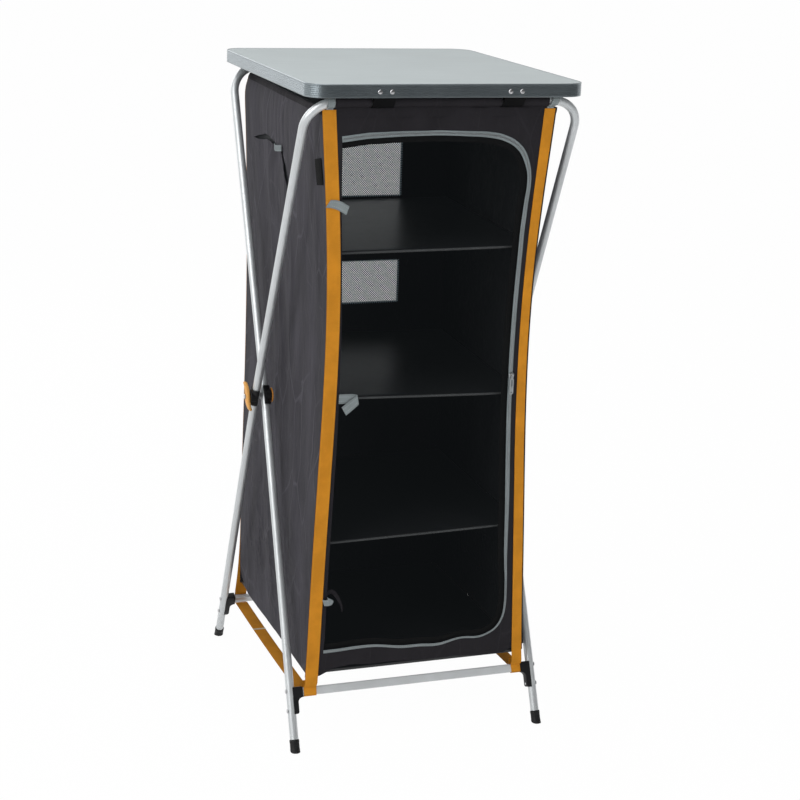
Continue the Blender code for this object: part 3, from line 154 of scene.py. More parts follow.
# Sizes of the visual pieces alone
STRAP_INSET = 0.0036
HEM_Z = 0.1412
VENT_SINK_R = 0.075
VENT_SINK = 0.0070
NET_PITCH = 0.0034
NET_STRAND = 0.00185
NET_LAYER = 0.00012
NET_HALF_THICK = 0.0001
BINDING_WIDTH = 0.0110
BINDING_THICK = 0.0012
ROLL_HALF_WIDTH = 0.0085
ROLL_HALF_DEPTH = 0.0075
ROLL_TURNS = 2.0
ROLL_PITCH = 0.0019
TOOTH_PITCH = 0.0016
TOOTH_HALF_LENGTH = 0.00062
WING_BORE_R = 0.0033
DEEP_CUT = 0.03
CLIP_RIVET = [(0.0021, -0.0030), (0.0021, -0.0001), (0.0042, 0.0), (0.0043, 0.0004), (0.0039, 0.0010),
              (0.0030, 0.0015), (0.0016, 0.0018), (0.0004, 0.0019)]
KNEE_RIVET = [(0.0021, -0.0020), (0.0021, -0.0008), (0.0042, 0.0), (0.0043, 0.0004), (0.0038, 0.0010),
              (0.0028, 0.0014), (0.0014, 0.0016), (0.0003, 0.0016)]

UP = Vector((0, 0, 1))
ACROSS = Vector((1, 0, 0))
SCENE = bpy.context.scene
PIECES = bpy.data.collections.new("pieces")
SCENE.collection.children.link(PIECES)
SCENE.view_settings.view_transform = "Standard"
FABRIC = []


# Materials

class Nodes:
    """Short ways to add nodes to a tree."""

    def __init__(self, tree):
        self.tree = tree

    def join(self, value, socket):
        if isinstance(value, bpy.types.NodeSocket):
            self.tree.links.new(value, socket)
        else:
            socket.default_value = (*value, 1) if socket.type == "RGBA" else value

    def node(self, kind, inputs, **settings):
        made = self.tree.nodes.new(kind)
        for key, value in settings.items():
            setattr(made, key, value)
        for key, value in inputs.items():
            self.join(value, made.inputs[key])
        return made

    def math(self, operation, first, second=0.0, third=0.0):
        return self.node("ShaderNodeMath", {0: first, 1: second, 2: third}, operation=operation).outputs[0]

    def times(self, first, second):
        return self.math("MULTIPLY", first, second)

    def axes(self, vector):
        return self.node("ShaderNodeSeparateXYZ", {"Vector": vector}).outputs


class Paint(Nodes):
    """A procedural material on one Principled shader."""

    def __init__(self, name, roughness, metallic=0.0, specular=0.5, glow=None):
        self.made = bpy.data.materials.new(name)
        self.made.use_nodes = True
        super().__init__(self.made.node_tree)
        self.shader = self.tree.nodes["Principled BSDF"]
        self.join(roughness, self.shader.inputs["Roughness"])
        self.join(metallic, self.shader.inputs["Metallic"])
        self.join(specular, self.shader.inputs["Specular IOR Level"])
        if glow is not None:
            self.join(glow, self.shader.inputs["Emission Color"])
            self.join(1.0, self.shader.inputs["Emission Strength"])
        places = self.node("ShaderNodeTexCoord", {}).outputs
        self.spot, self.uv = places["Object"], places["UV"]
        self.relief = None

    def stretched(self, vector, scale):
        return self.node("ShaderNodeVectorMath", {0: vector, 1: scale}, operation="MULTIPLY").outputs[0]

    def turned(self, vector, angles):
        return self.node("ShaderNodeMapping", {"Vector": vector, "Rotation": angles}).outputs[0]

    def noise(self, vector, scale, detail=3.0, rough=0.55, distortion=0.0):
        inputs = {"Vector": vector, "Scale": scale, "Detail": detail, "Roughness": rough,
                  "Distortion": distortion}
        return self.node("ShaderNodeTexNoise", inputs).outputs["Fac"]

    def warped(self, vector, scale, amount):
        shift = self.node("ShaderNodeTexNoise", {"Vector": vector, "Scale": scale, "Detail": 2.0})
        moved = self.stretched(shift.outputs["Color"], (amount,) * 3)
        return self.node("ShaderNodeVectorMath", {0: vector, 1: moved}, operation="ADD").outputs[0]

    def mask(self, scale, detail, rough, low, high):
        """Return soft patches, 1 where the noise is above high and 0 where it is below low."""
        return self.span(self.noise(self.spot, scale, detail, rough), low, high)

    def edges(self, vector, scale, width):
        """Return 1 on the edges of a net of cells and 0 from width inside them."""
        cells = self.node("ShaderNodeTexVoronoi", {"Vector": vector, "Scale": scale},
                          feature="DISTANCE_TO_EDGE")
        return self.span(cells.outputs["Distance"], width, 0.0)

    def span(self, value, low, high, new_low=0.0, new_high=1.0):
        """Map value from low..high to new_low..new_high, smoothly and clamped."""
        inputs = {"Value": value, "From Min": low, "From Max": high, "To Min": new_low, "To Max": new_high}
        return self.node("ShaderNodeMapRange", inputs, interpolation_type="SMOOTHSTEP").outputs["Result"]

    def blend(self, share, first, second):
        return self.node("ShaderNodeMix", {0: share, 6: first, 7: second}, data_type="RGBA").outputs[2]

    def part_blend(self, mask, share, first, second):
        """Blend towards second by a share of the mask."""
        return self.blend(self.times(mask, share), first, second)

    def bump(self, height, distance, strength=1.0):
        inputs = {"Height": height, "Distance": distance, "Strength": strength}
        if self.relief is not None:
            inputs["Normal"] = self.relief
        self.relief = self.node("ShaderNodeBump", inputs).outputs["Normal"]

    def ripple(self, value, pitch):
        """Return a wave of value from 0 to 1."""
        wave = self.math("SINE", self.times(value, 2 * pi / pitch))
        return self.math("MULTIPLY_ADD", wave, 0.5, 0.5)

    def finish(self, colour, rough=None):
        for value, socket in ((colour, "Base Color"), (rough, "Roughness"), (self.relief, "Normal")):
            if value is not None:
                self.join(value, self.shader.inputs[socket])
        return self.made


def tone(colour, share):
    """Return a colour made lighter or darker by a share."""
    return tuple(channel * share for channel in colour)


def cloth_paint(name, colour, roughness, creases, glow=None, uneven=0.14):
    """Woven polyester: a fine plain weave, soft mottling and the pale lines of old folds, their paleness
    partly wear and partly painted highlight.
    """
    paint = Paint(name, roughness, specular=0.12, glow=glow)
    upright = (1.0, 1.0, 0.30)
    across, along_it, _ = paint.axes(paint.uv)
    weave = paint.times(paint.ripple(across, 0.0009), paint.ripple(along_it, 0.0009))
    mottle = paint.span(paint.noise(paint.stretched(paint.spot, upright), 17.0, 5.0, 0.6), 0.30, 0.70)
    long_lines = paint.edges(paint.stretched(paint.warped(paint.spot, 7.0, 0.035), upright), 15.0, 0.030)
    leaning = paint.turned(paint.warped(paint.spot, 12.0, 0.020), (0.5, 0.0, 0.0))
    short_lines = paint.edges(paint.stretched(leaning, upright), 34.0, 0.030)
    long_lines = paint.times(long_lines, paint.mask(6.0, 2.0, 0.55, 0.42, 0.58))
    short_lines = paint.times(short_lines, paint.mask(10.0, 2.0, 0.55, 0.46, 0.62))
    lines = paint.math("MAXIMUM", long_lines, paint.times(short_lines, 0.6))
    shade = paint.blend(mottle, tone(colour, 1.0 - uneven), tone(colour, 1.0 + uneven))
    shade = paint.part_blend(weave, 0.25, shade, tone(colour, 1.35))
    # The crease lines are lightened: partly worn creases, partly painted highlight on their ridges.
    shade = paint.part_blend(lines, 0.26 * creases, shade, tone(colour, 2.1))
    crumples = paint.noise(paint.stretched(paint.spot, upright), 26.0, 4.0, 0.62, 0.6)
    paint.bump(lines, 0.0006 * creases, 0.9)
    paint.bump(crumples, 0.0035 * creases, 0.55)
    paint.bump(weave, 0.00012, 0.6)
    return paint.finish(shade, paint.span(mottle, 0.0, 1.0, roughness - 0.06, roughness + 0.05))


def net_paint(name, colour):
    """A window's thin net: fine strands, pale from a painted glow that stands for the light behind them."""
    # The net's glow is painted light.
    paint = Paint(name, 0.8, specular=0.1, glow=(0.026, 0.034, 0.038))
    uneven = paint.noise(paint.spot, 160.0, 3.0)
    paint.bump(uneven, 0.0002, 0.3)
    return paint.finish(paint.blend(uneven, tone(colour, 0.97), tone(colour, 1.03)))


def web_paint(name, colour, stitch, width):
    """Woven webbing: a ribbed twill, with a row of stitches inside each edge. UV runs in metres."""
    paint = Paint(name, 0.82, specular=0.15)
    half = width / 2
    across, along_it, _ = paint.axes(paint.uv)
    side = paint.math("ABSOLUTE", across)
    ribs = paint.times(paint.ripple(paint.math("ADD", along_it, side), 0.0022),
                      paint.ripple(across, 0.0013))
    row = paint.math("COMPARE", side, half - 0.0024, 0.00045)
    dash = paint.math("LESS_THAN", paint.math("FRACT", paint.math("DIVIDE", along_it, 0.0040)), 0.66)
    thread = paint.times(row, dash)
    grime = paint.mask(19.0, 5.0, 0.62, 0.34, 0.70)
    shade = paint.blend(grime, tone(colour, 0.88), tone(colour, 1.10))
    shade = paint.part_blend(ribs, 0.30, shade, tone(colour, 1.25))
    shade = paint.part_blend(paint.span(side, half - 0.0012, half), 0.35, shade, tone(colour, 0.72))
    paint.bump(ribs, 0.00030, 0.7)
    paint.bump(paint.math("SUBTRACT", thread, row), 0.00035, 0.8)
    paint.bump(paint.noise(paint.spot, 60.0, 3.0), 0.0008, 0.35)
    return paint.finish(paint.blend(thread, shade, stitch))


def metal_paint(name, colour, roughness, metallic, stretch, grain):
    """Drawn or anodised metal: fine lines along its length, faint stains and small scuffs."""
    paint = Paint(name, roughness, metallic)
    lines = paint.noise(paint.stretched(paint.spot, stretch), grain, 4.0, 0.7)
    stain = paint.mask(13.0, 5.0, 0.6, 0.35, 0.72)
    scuffs = paint.span(paint.noise(paint.warped(paint.spot, 30.0, 0.02), 90.0, 6.0, 0.75), 0.66, 0.76)
    shade = paint.blend(stain, tone(colour, 0.94), tone(colour, 1.04))
    shade = paint.part_blend(scuffs, 0.35, shade, tone(colour, 0.72))
    rough = paint.math("ADD", paint.span(lines, 0.2, 0.8, roughness - 0.05, roughness + 0.06),
                       paint.times(scuffs, 0.12))
    paint.bump(lines, 0.00006, 0.35)
    paint.bump(stain, 0.0002, 0.15)
    return paint.finish(shade, rough)


def plastic_paint(name, colour, roughness, grain=900.0, depth=0.00012, pale=1.5, gloss=0.2):
    """Moulded plastic: a fine spark grain, slight flow marks and paler rubbed patches."""
    paint = Paint(name, roughness, specular=gloss)
    flow = paint.noise(paint.warped(paint.spot, 22.0, 0.03), 40.0, 3.0)
    rubbed = paint.mask(75.0, 6.0, 0.7, 0.60, 0.74)
    shade = paint.blend(paint.span(flow, 0.3, 0.7), tone(colour, 0.9), tone(colour, 1.1))
    shade = paint.part_blend(rubbed, 0.5, shade, tone(colour, pale))
    paint.bump(paint.noise(paint.spot, grain, 3.0, 0.6), depth, 0.5)
    paint.bump(flow, 0.0003, 0.2)
    return paint.finish(shade, paint.math("MULTIPLY_ADD", rubbed, 0.16, roughness))


def laminate_paint(name, colour):
    """The tabletop's sheet: a fine orange peel, faint wipe marks and a few hair scratches."""
    paint = Paint(name, 0.34, specular=0.22)
    clouds = paint.mask(5.0, 4.0, 0.55, 0.30, 0.72)
    wiped = paint.noise(paint.stretched(paint.warped(paint.spot, 3.0, 0.15), (4.0, 26.0, 1.0)), 2.4, 4.0)
    scratched = paint.stretched(paint.turned(paint.spot, (0.0, 0.0, 0.6)), (8.0, 900.0, 1.0))
    hairs = paint.span(paint.noise(scratched, 1.0, 2.0), 0.74, 0.80)
    shade = paint.blend(clouds, tone(colour, 0.965), tone(colour, 1.03))
    shade = paint.part_blend(hairs, 0.10, shade, tone(colour, 1.25))
    rough = paint.math("ADD", paint.span(wiped, 0.3, 0.7, 0.35, 0.38), paint.times(hairs, 0.03))
    paint.bump(paint.noise(paint.spot, 420.0, 2.0, 0.5), 0.00008, 0.35)
    return paint.finish(shade, rough)


def board_paint(name, colour):
    """A shelf's coated cloth over a board: semi-gloss, finely pebbled, gently uneven, with a faint painted
    glow.
    """
    # The faint glow is painted light that lifts the dim boards.
    paint = Paint(name, 0.30, glow=(0.0034, 0.0040, 0.0044))
    dust = paint.mask(30.0, 6.0, 0.7, 0.42, 0.74)
    shade = paint.blend(dust, tone(colour, 0.95), tone(colour, 1.15))
    paint.bump(paint.noise(paint.spot, 700.0, 2.0, 0.5), 0.00002, 0.2)
    paint.bump(paint.noise(paint.spot, 17.0, 3.0, 0.5), 0.0001, 0.05)
    return paint.finish(shade, paint.span(dust, 0.0, 1.0, 0.33, 0.35))


SIDE = cloth_paint("side_cloth", (0.050, 0.048, 0.056), 0.80, 1.9, uneven=0.30)
# The front cloth is the side's fabric written darker, as it looks in shade: painted shade.
FRONT_SHADED_CLOTH = cloth_paint("front_cloth_shaded", (0.0185, 0.0172, 0.0200), 0.82, 0.6)
# The inner cloth's faint glow is painted light that lifts the dim inside.
INSIDE = cloth_paint("inner_cloth", (0.0110, 0.0120, 0.0130), 0.70, 0.5, glow=(0.0036, 0.0042, 0.0047))
WELT = cloth_paint("welt_cloth", (0.0042, 0.0046, 0.0050), 0.75, 0.3)
PIPING = web_paint("shelf_piping", (0.060, 0.064, 0.066), (0.07, 0.075, 0.078), LOOP_WIDTH)
BOARD = board_paint("coated_board", (0.0085, 0.0092, 0.0100))
NET = net_paint("window_net", (0.135, 0.180, 0.200))
ORANGE_WEB = web_paint("orange_web", (0.560, 0.225, 0.017), (0.62, 0.27, 0.03), STRAP_WIDTH)
GREY_WEB = web_paint("grey_web", (0.215, 0.245, 0.250), (0.30, 0.33, 0.34), LOOP_WIDTH)
TIE_WEB = web_paint("tie_web", (0.215, 0.245, 0.250), (0.30, 0.33, 0.34), TIE_WIDTH)
TAPE_WEB = web_paint("zip_tape_web", (0.200, 0.230, 0.238), (0.28, 0.31, 0.32), ZIP_WIDTH)
THREAD = web_paint("cream_thread", (0.620, 0.560, 0.420), (0.70, 0.64, 0.50), STRAP_WIDTH)
BLACK_TAG = cloth_paint("black_tag", (0.0016, 0.0016, 0.0017), 0.9, 0.1)
TOP = laminate_paint("top_sheet", (0.420, 0.480, 0.488))
RIM = metal_paint("anodised_rim", (0.255, 0.290, 0.308), 0.30, 1.0, (0.05, 0.05, 8.0), 420.0)
TUBE = metal_paint("drawn_tube", (0.620, 0.645, 0.655), 0.38, 0.55, (1.0, 1.0, 0.06), 500.0)
BAR = metal_paint("drawn_bar", (0.600, 0.620, 0.630), 0.40, 0.30, (0.05, 1.0, 1.0), 500.0)
STEEL = metal_paint("rivet_steel", (0.560, 0.560, 0.570), 0.28, 1.0, (1.0, 1.0, 1.0), 700.0)
ZINC = metal_paint("zip_zinc", (0.420, 0.445, 0.455), 0.36, 1.0, (1.0, 1.0, 1.0), 900.0)
BLACK = plastic_paint("black_moulding", (0.0105, 0.0105, 0.0115), 0.42)
CLIP_BLACK = plastic_paint("clip_moulding", (0.0050, 0.0050, 0.0055), 0.60, gloss=0.05)
RUBBER = plastic_paint("foot_rubber", (0.0130, 0.0135, 0.0140), 0.50, 600.0, 0.0002, 1.8)
ORANGE = plastic_paint("orange_moulding", (0.800, 0.400, 0.100), 0.42, 900.0, 0.0001, 1.15, 0.5)
ORANGE_RING = plastic_paint("orange_washer", (0.620, 0.250, 0.040), 0.45, 900.0, 0.0001, 1.2)


# Building helpers

def build(name, verts, faces, surfaces, uv=None, smooth=True, kinds=None):
    """Make a mesh piece: uv has a pair for each vertex, and kinds a material's index for each face."""
    data = bpy.data.meshes.new(name)
    data.from_pydata([tuple(v) for v in verts], [], [tuple(int(i) for i in f) for f in faces])
    for surface in (surfaces if isinstance(surfaces, list) else [surfaces]):
        data.materials.append(surface)
    if kinds is not None:
        data.polygons.foreach_set("material_index", np.asarray(kinds, np.int32))
    layer = data.uv_layers.new(name="UVMap")
    corner = np.zeros(len(data.loops), np.int32)
    data.loops.foreach_get("vertex_index", corner)
    if uv is None:
        points = np.asarray([tuple(v) for v in verts])
        uv = points[:, :2] + points[:, 2:3]
    layer.data.foreach_set("uv", np.asarray(uv, np.float32)[corner].ravel())
    made = bpy.data.objects.new(name, data)
    PIECES.objects.link(made)
    if smooth:
        data.shade_smooth()
        data.set_sharp_from_angle(angle=radians(34))
    data.validate()
    return made


def lengths(points, axis):
    """Return the running length along one axis of a grid of points."""
    steps = np.linalg.norm(np.diff(points, axis=axis), axis=2)
    zero = np.zeros_like(steps.take([0], axis=axis))
    return np.concatenate([zero, np.cumsum(steps, axis=axis)], axis=axis)


def shell(name, points, thick, surfaces):
    """Make closed cloth of the given thickness round a grid of points: rows, columns, xyz.

    Its outer face looks along columns cross rows. UV is in metres, across from the middle.
    """
    rows, columns = points.shape[:2]
    normal = np.cross(np.gradient(points, axis=1), np.gradient(points, axis=0))
    normal /= np.maximum(np.linalg.norm(normal, axis=2, keepdims=True), 1e-12)
    count = rows * columns
    verts = np.concatenate([(points + normal * thick / 2).reshape(-1, 3),
                            (points - normal * thick / 2).reshape(-1, 3)])
    ids = np.arange(count).reshape(rows, columns)
    a, b, c, d = ids[:-1, :-1], ids[:-1, 1:], ids[1:, 1:], ids[1:, :-1]
    outer = np.stack([a, b, c, d], axis=-1).reshape(-1, 4)
    inner = np.stack([a, d, c, b], axis=-1).reshape(-1, 4) + count
    loop = np.concatenate([ids[0], ids[1:, -1], ids[-1, -2::-1], ids[-2::-1, 0]])
    first, second = loop[:-1], loop[1:]
    rim = np.stack([second, first, first + count, second + count], axis=-1)
    across = lengths(points, 1)
    uv = np.stack([across - across[:, -1:] / 2, lengths(points, 0)], axis=-1).reshape(-1, 2)
    faces = np.concatenate([outer, inner, rim])
    kinds = [0] * len(outer) + [1] * len(inner) + [0] * len(rim) if isinstance(surfaces, list) else None
    return build(name, verts, faces, surfaces, np.concatenate([uv, uv]), kinds=kinds)


def grid(columns, rows):
    """Return the shares u and v of a grid, each rows by columns."""
    return np.meshgrid(np.linspace(0, 1, columns + 1), np.linspace(0, 1, rows + 1))


def stacked(x, y, z):
    """Return points from arrays of coordinates that fit each other's shape."""
    x, y, z = np.broadcast_arrays(x, y, z)
    return np.stack([x, y, z], axis=-1)


def settle(made):
    """Apply a piece's modifiers to its mesh."""
    bpy.context.view_layer.update()
    seen = made.evaluated_get(bpy.context.evaluated_depsgraph_get())
    data = bpy.data.meshes.new_from_object(seen)
    made.modifiers.clear()
    made.data = data


def cut(made, tools):
    """Cut tools from a piece, and remove them."""
    for tool in tools:
        step = made.modifiers.new("cut", "BOOLEAN")
        step.operation = "DIFFERENCE"
        step.solver = "EXACT"
        step.object = tool
    settle(made)
    for tool in tools:
        bpy.data.objects.remove(tool, do_unlink=True)


def prism(outline, matrix, deep, name="cutter", surface=BLACK):
    """Return a cutter or piece with the given flat outline, deep both ways along the frame's Z."""
    count = len(outline)
    verts = [matrix @ Vector((x, y, z)) for z in (-deep, deep) for x, y in outline]
    faces = [list(range(count))[::-1], list(range(count, 2 * count))]
    faces += [[i, (i + 1) % count, count + (i + 1) % count, count + i] for i in range(count)]
    return build(name, verts, faces, surface, smooth=False)


def block(wide, low, high, matrix, deep):
    """Return a cutter for a rectangle, wide to both sides and from low to high."""
    return prism([(-wide, low), (wide, low), (wide, high), (-wide, high)], matrix, deep)


def hole(radius, matrix, deep, sides, centre=(0, 0)):
    """Return a cutter for a round hole."""
    return prism(arc(centre, radius, 0, 2 * pi, sides)[:-1], matrix, deep)


def rounded_edges(made, width, segments=2, angle=34):
    """Round a piece's edges that are sharper than the angle in degrees."""
    step = made.modifiers.new("edges", "BEVEL")
    step.width = width
    step.segments = segments
    step.limit_method = "ANGLE"
    step.angle_limit = radians(angle)
    settle(made)
    made.data.shade_smooth()
    made.data.set_sharp_from_angle(angle=radians(50))


def lofted(name, rings, surface, closed=False):
    """Make a surface through rings of equally many points, its ends filled unless it is closed."""
    count = len(rings[0])
    verts = [tuple(p) for ring in rings for p in ring]
    faces = []
    for level in range(len(rings) if closed else len(rings) - 1):
        here, there = level * count, (level + 1) % len(rings) * count
        for i in range(count):
            after = (i + 1) % count
            faces.append((here + i, here + after, there + after, there + i))
    if not closed:
        faces += [tuple(range(count))[::-1], tuple(range(len(verts) - count, len(verts)))]
    run = np.cumsum([0] + [(Vector(there[0]) - Vector(here[0])).length
                           for here, there in zip(rings, rings[1:])])
    girth = sum((Vector(rings[0][i]) - Vector(rings[0][i - 1])).length for i in range(count))
    uv = [(share * girth, length) for length in run for share in np.linspace(0, 1, count, endpoint=False)]
    return build(name, verts, faces, surface, uv)


def frames_along(points):
    """Return a side and an up direction at each point of a path, turned as little as possible."""
    found = []
    side = None
    for i in range(len(points)):
        ahead = (points[min(i + 1, len(points) - 1)] - points[max(i - 1, 0)]).normalized()
        if side is None:
            side = ahead.cross(ACROSS if abs(ahead.x) < 0.9 else UP).normalized()
        side = (side - ahead * side.dot(ahead)).normalized()
        found.append((side, ahead.cross(side)))
    return found


def tube(name, path, radius, surface, sides=28):
    """Make a round bar along a path."""
    points = [Vector(p) for p in path]
    turns = [2 * pi * i / sides for i in range(sides)]
    rings = [[point + (side * cos(turn) + rise * sin(turn)) * radius for turn in turns]
             for point, (side, rise) in zip(points, frames_along(points))]
    return lofted(name, rings, surface)


def turned(name, profile, matrix, surface, sides=40):
    """Turn a profile of (radius, height) pairs, listed from its foot up, about the frame's Z."""
    rings = [[matrix @ Vector((radius * cos(2 * pi * i / sides), radius * sin(2 * pi * i / sides), height))
              for i in range(sides)] for radius, height in profile]
    return lofted(name, rings, surface)


def basis(origin, x_axis, y_axis):
    """Return a frame at origin with its X along x_axis and its Y near y_axis."""
    x_dir = Vector(x_axis).normalized()
    z_dir = x_dir.cross(Vector(y_axis)).normalized()
    y_dir = z_dir.cross(x_dir)
    return Matrix.Translation(origin) @ Matrix((x_dir, y_dir, z_dir)).transposed().to_4x4()


def along(origin, z_axis):
    """Return a frame at origin with its Z along z_axis."""
    z_dir = Vector(z_axis).normalized()
    side = ACROSS if abs(z_dir.x) < cos(pi / 4) else UP
    return basis(origin, z_dir.cross(side).cross(z_dir), z_dir.cross(side))


def arc(centre, radius, start, stop, steps):
    """Return points on an arc, both ends included."""
    angles = [start + (stop - start) * step / steps for step in range(steps + 1)]
    return [(centre[0] + radius * cos(a), centre[1] + radius * sin(a)) for a in angles]


def rounded(left, right, low, high, radius, steps=12):
    """Return the outline of a rectangle with round corners."""
    corners = [(right - radius, low + radius, -pi / 2, 0), (right - radius, high - radius, 0, pi / 2),
               (left + radius, high - radius, pi / 2, pi), (left + radius, low + radius, pi, 3 * pi / 2)]
    return [spot for x, y, start, stop in corners for spot in arc((x, y), radius, start, stop, steps)]


def carried(made, slot, *nodes, body=None, soft=False):
    """Let a piece stand for CAD nodes, or ride on a body. The slot is not used."""
    home = body or BODY_OF[nodes[0]]
    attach(made, home)
    if nodes:
        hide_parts(*nodes)
    if soft:
        FABRIC.append(made)


def sewn(made, slot, *nodes):
    """Let a piece ride on the fabric body, for its CAD node if it has one."""
    carried(made, slot, *nodes, body=None if nodes else "fabric_body", soft=True)


def make_rivet(name, profile, place, out, body, sides):
    """Make a rivet's head, turned from radius and height pairs, that stands out at a place."""
    carried(turned(name, profile, along(place, out), STEEL, sides), "steel", body=body)


def mixed(low, high, share):
    """Return the value at a share of the way from low to high."""
    return low + (high - low) * share


def level_at(share):
    """Return the height at a share of the body's height."""
    return BODY_FOOT_Z + share * BODY_TALL


def curved(spots, per):
    """Return spots joined by a smooth curve, with per steps between each two."""
    spots = np.asarray(spots, float)
    ends = np.concatenate([[2 * spots[0] - spots[1]], spots, [2 * spots[-1] - spots[-2]]])
    share = np.linspace(0, 1, per, endpoint=False)[:, None]
    parts = []
    for before, here, there, after in zip(ends, ends[1:], ends[2:], ends[3:]):
        turn = 1.5 * (here - there) + (after - before) / 2
        sweep = before - 2.5 * here + 2 * there - after / 2
        parts.append(here + share * ((there - before) / 2 + share * (sweep + share * turn)))
    return np.concatenate(parts + [spots[-1:]])


# The body's shape: heights and depths may be arrays

def front_y(z):
    """Return the depth of the front's plane, which leans back towards its foot."""
    return mixed(FRONT_Y_FOOT, FRONT_Y_TOP, (z - BODY_FOOT_Z) / BODY_TALL)


def rear_y(z):
    """Return the depth of the back's plane."""
    return mixed(REAR_Y_FOOT, REAR_Y_TOP, (z - BODY_FOOT_Z) / BODY_TALL)


def fitted(spots, degree=5):
    """Return a smooth curve over height through (height, distance) spots."""
    heights, values = zip(*spots)
    curve = np.polynomial.Polynomial.fit(heights, values, degree)
    return lambda z: curve(np.clip(z, heights[-1], heights[0]))


# Spots of (height, distance): the front straps' places, how far the back is drawn in, and the left
# edge of the door's opening. The zip's spots are its x, its height and half its width.
LEFT_MIDDLE = fitted([(1.2140, 0.2165), (1.166, 0.2126), (1.124, 0.2091), (1.039, 0.2022), (0.953, 0.1985),
                      (0.865, 0.1949), (0.776, 0.1932), (0.685, 0.1940), (0.593, 0.1975), (0.500, 0.2003),
                      (0.404, 0.2025), (0.308, 0.2047), (0.209, 0.2069), (0.090, 0.2104)])
RIGHT_INNER = fitted([(1.2140, 0.1880), (1.161, 0.1851), (1.118, 0.1824), (1.030, 0.1772), (0.940, 0.1731),
                      (0.849, 0.1714), (0.757, 0.1709), (0.662, 0.1740), (0.566, 0.1790), (0.468, 0.1838),
                      (0.368, 0.1892), (0.267, 0.1954), (0.163, 0.2022), (0.090, 0.2062)])
RIGHT_OUTER = fitted([(1.2140, 0.2114), (1.161, 0.2067), (1.118, 0.2038), (1.030, 0.1977), (0.940, 0.1928),
                      (0.849, 0.1900), (0.757, 0.1908), (0.662, 0.1945), (0.566, 0.1995), (0.468, 0.2054),
                      (0.368, 0.2114), (0.267, 0.2171), (0.163, 0.2250), (0.090, 0.2305)])
REAR_DRAW = fitted([(1.160, 0.0010), (1.120, 0.0026), (1.040, 0.0050), (0.963, 0.0071), (0.840, 0.0078),
                    (0.717, 0.0074), (0.588, 0.0056), (0.479, 0.0035), (0.367, 0.0012), (0.277, 0.0),
                    (0.160, 0.0)])
LEFT_DOOR = fitted([(1.170, -0.1890), (1.090, -0.1866), (0.980, -0.1833), (0.870, -0.1797), (0.720, -0.1751),
                    (0.630, -0.1757), (0.530, -0.1796), (0.410, -0.1823), (0.290, -0.1836), (0.170, -0.1852)])
ZIP_SPOTS = [(-0.1868, 0.1823, 0.0032), (-0.1432, 0.1837, 0.0030), (-0.0829, 0.1842, 0.0024),
             (-0.0315, 0.1755, 0.0027), (0.0094, 0.1765, 0.0025), (0.0509, 0.1748, 0.0025),
             (0.0921, 0.1812, 0.0019), (0.1237, 0.1806, 0.0019), (0.1440, 0.1849, 0.0018),
             (0.1640, 0.1956, 0.0018), (0.1765, 0.2150, 0.0019), (0.1810, 0.2440, 0.0020),
             (0.1794, 0.2935, 0.0022), (0.1760, 0.3361, 0.0027), (0.1738, 0.3782, 0.0032),
             (0.1720, 0.4198, 0.0036), (0.1700, 0.4612, 0.0040), (0.1677, 0.5023, 0.0042),
             (0.1653, 0.5429, 0.0042), (0.1628, 0.5900, 0.0042), (0.1600, 0.6480, 0.0042),
             (0.1582, 0.7117, 0.0042), (0.1572, 0.7700, 0.0042), (0.1574, 0.8500, 0.0042),
             (0.1594, 0.9300, 0.0042), (0.1612, 0.9892, 0.0041), (0.1631, 1.0170, 0.0040),
             (0.1650, 1.0447, 0.0038), (0.1670, 1.0640, 0.0036), (0.1676, 1.0820, 0.0036),
             (0.1655, 1.1000, 0.0040), (0.1605, 1.1160, 0.0046), (0.1545, 1.1290, 0.0049),
             (0.1455, 1.1410, 0.0051), (0.1320, 1.1515, 0.0052), (0.1177, 1.1583, 0.0052),
             (0.1020, 1.1630, 0.0052), (0.0748, 1.1668, 0.0051), (0.0480, 1.1682, 0.0046),
             (0.0100, 1.1700, 0.0043), (-0.0450, 1.1700, 0.0044), (-0.0837, 1.1693, 0.0046),
             (-0.1206, 1.1674, 0.0050), (-0.1463, 1.1660, 0.0052), (-0.1905, 1.1608, 0.0052)]
ZIP_LINE = curved(ZIP_SPOTS, 9)
VENT_FLAP = [(0.0650, 1.1050), (0.0267, 1.0926), (-0.0092, 1.0738), (-0.0315, 1.0493), (-0.0472, 1.0220)]


def strap_edges(side, z):
    """Return how far from the middle the inner and outer edges of a front strap's face lie."""
    if side < 0:
        return LEFT_MIDDLE(z) - STRAP_WIDTH / 2, LEFT_MIDDLE(z) + STRAP_WIDTH / 2
    return RIGHT_INNER(z), RIGHT_OUTER(z) - STRAP_INSET


def front_half(side, z):
    """Return how far from the middle a side's cloth meets the front."""
    return strap_edges(side, z)[1] + (0 if side < 0 else STRAP_INSET + 0.0008)


def rear_half(z):
    """Return half the width of the back, which narrows under the rear top tube."""
    share = np.maximum(0, z - BODY_TOP_Z + 0.044) / 0.044
    return REAR_HALF - 0.012 * share * share - REAR_DRAW(z) * (1 - share)


def rear_strap_x(z):
    """Return the middle of a rear strap, which leans out towards its bar."""
    flare = np.clip((0.27 - z) / 0.15, 0, 1)
    return rear_half(z) - STRAP_WIDTH / 2 + 0.0100 * flare * flare


def side_half(side, y, z):
    """Return how far from the middle a side's plain cloth lies."""
    share = (y - front_y(z)) / (rear_y(z) - front_y(z))
    return mixed(front_half(side, z), rear_half(z), share)


def side_foot(y):
    """Return the height of a side's lower edge, which rises round its rear corner."""
    spots = [-0.25, -0.04, 0.06, 0.14, 0.18, 0.205, 0.225, 0.236, 0.2405, 0.2415]
    levels = [0.1412, 0.1416, 0.1395, 0.1370, 0.1385, 0.1460, 0.1560, 0.1650, 0.1760, 0.1900]
    return np.interp(y, spots, levels)


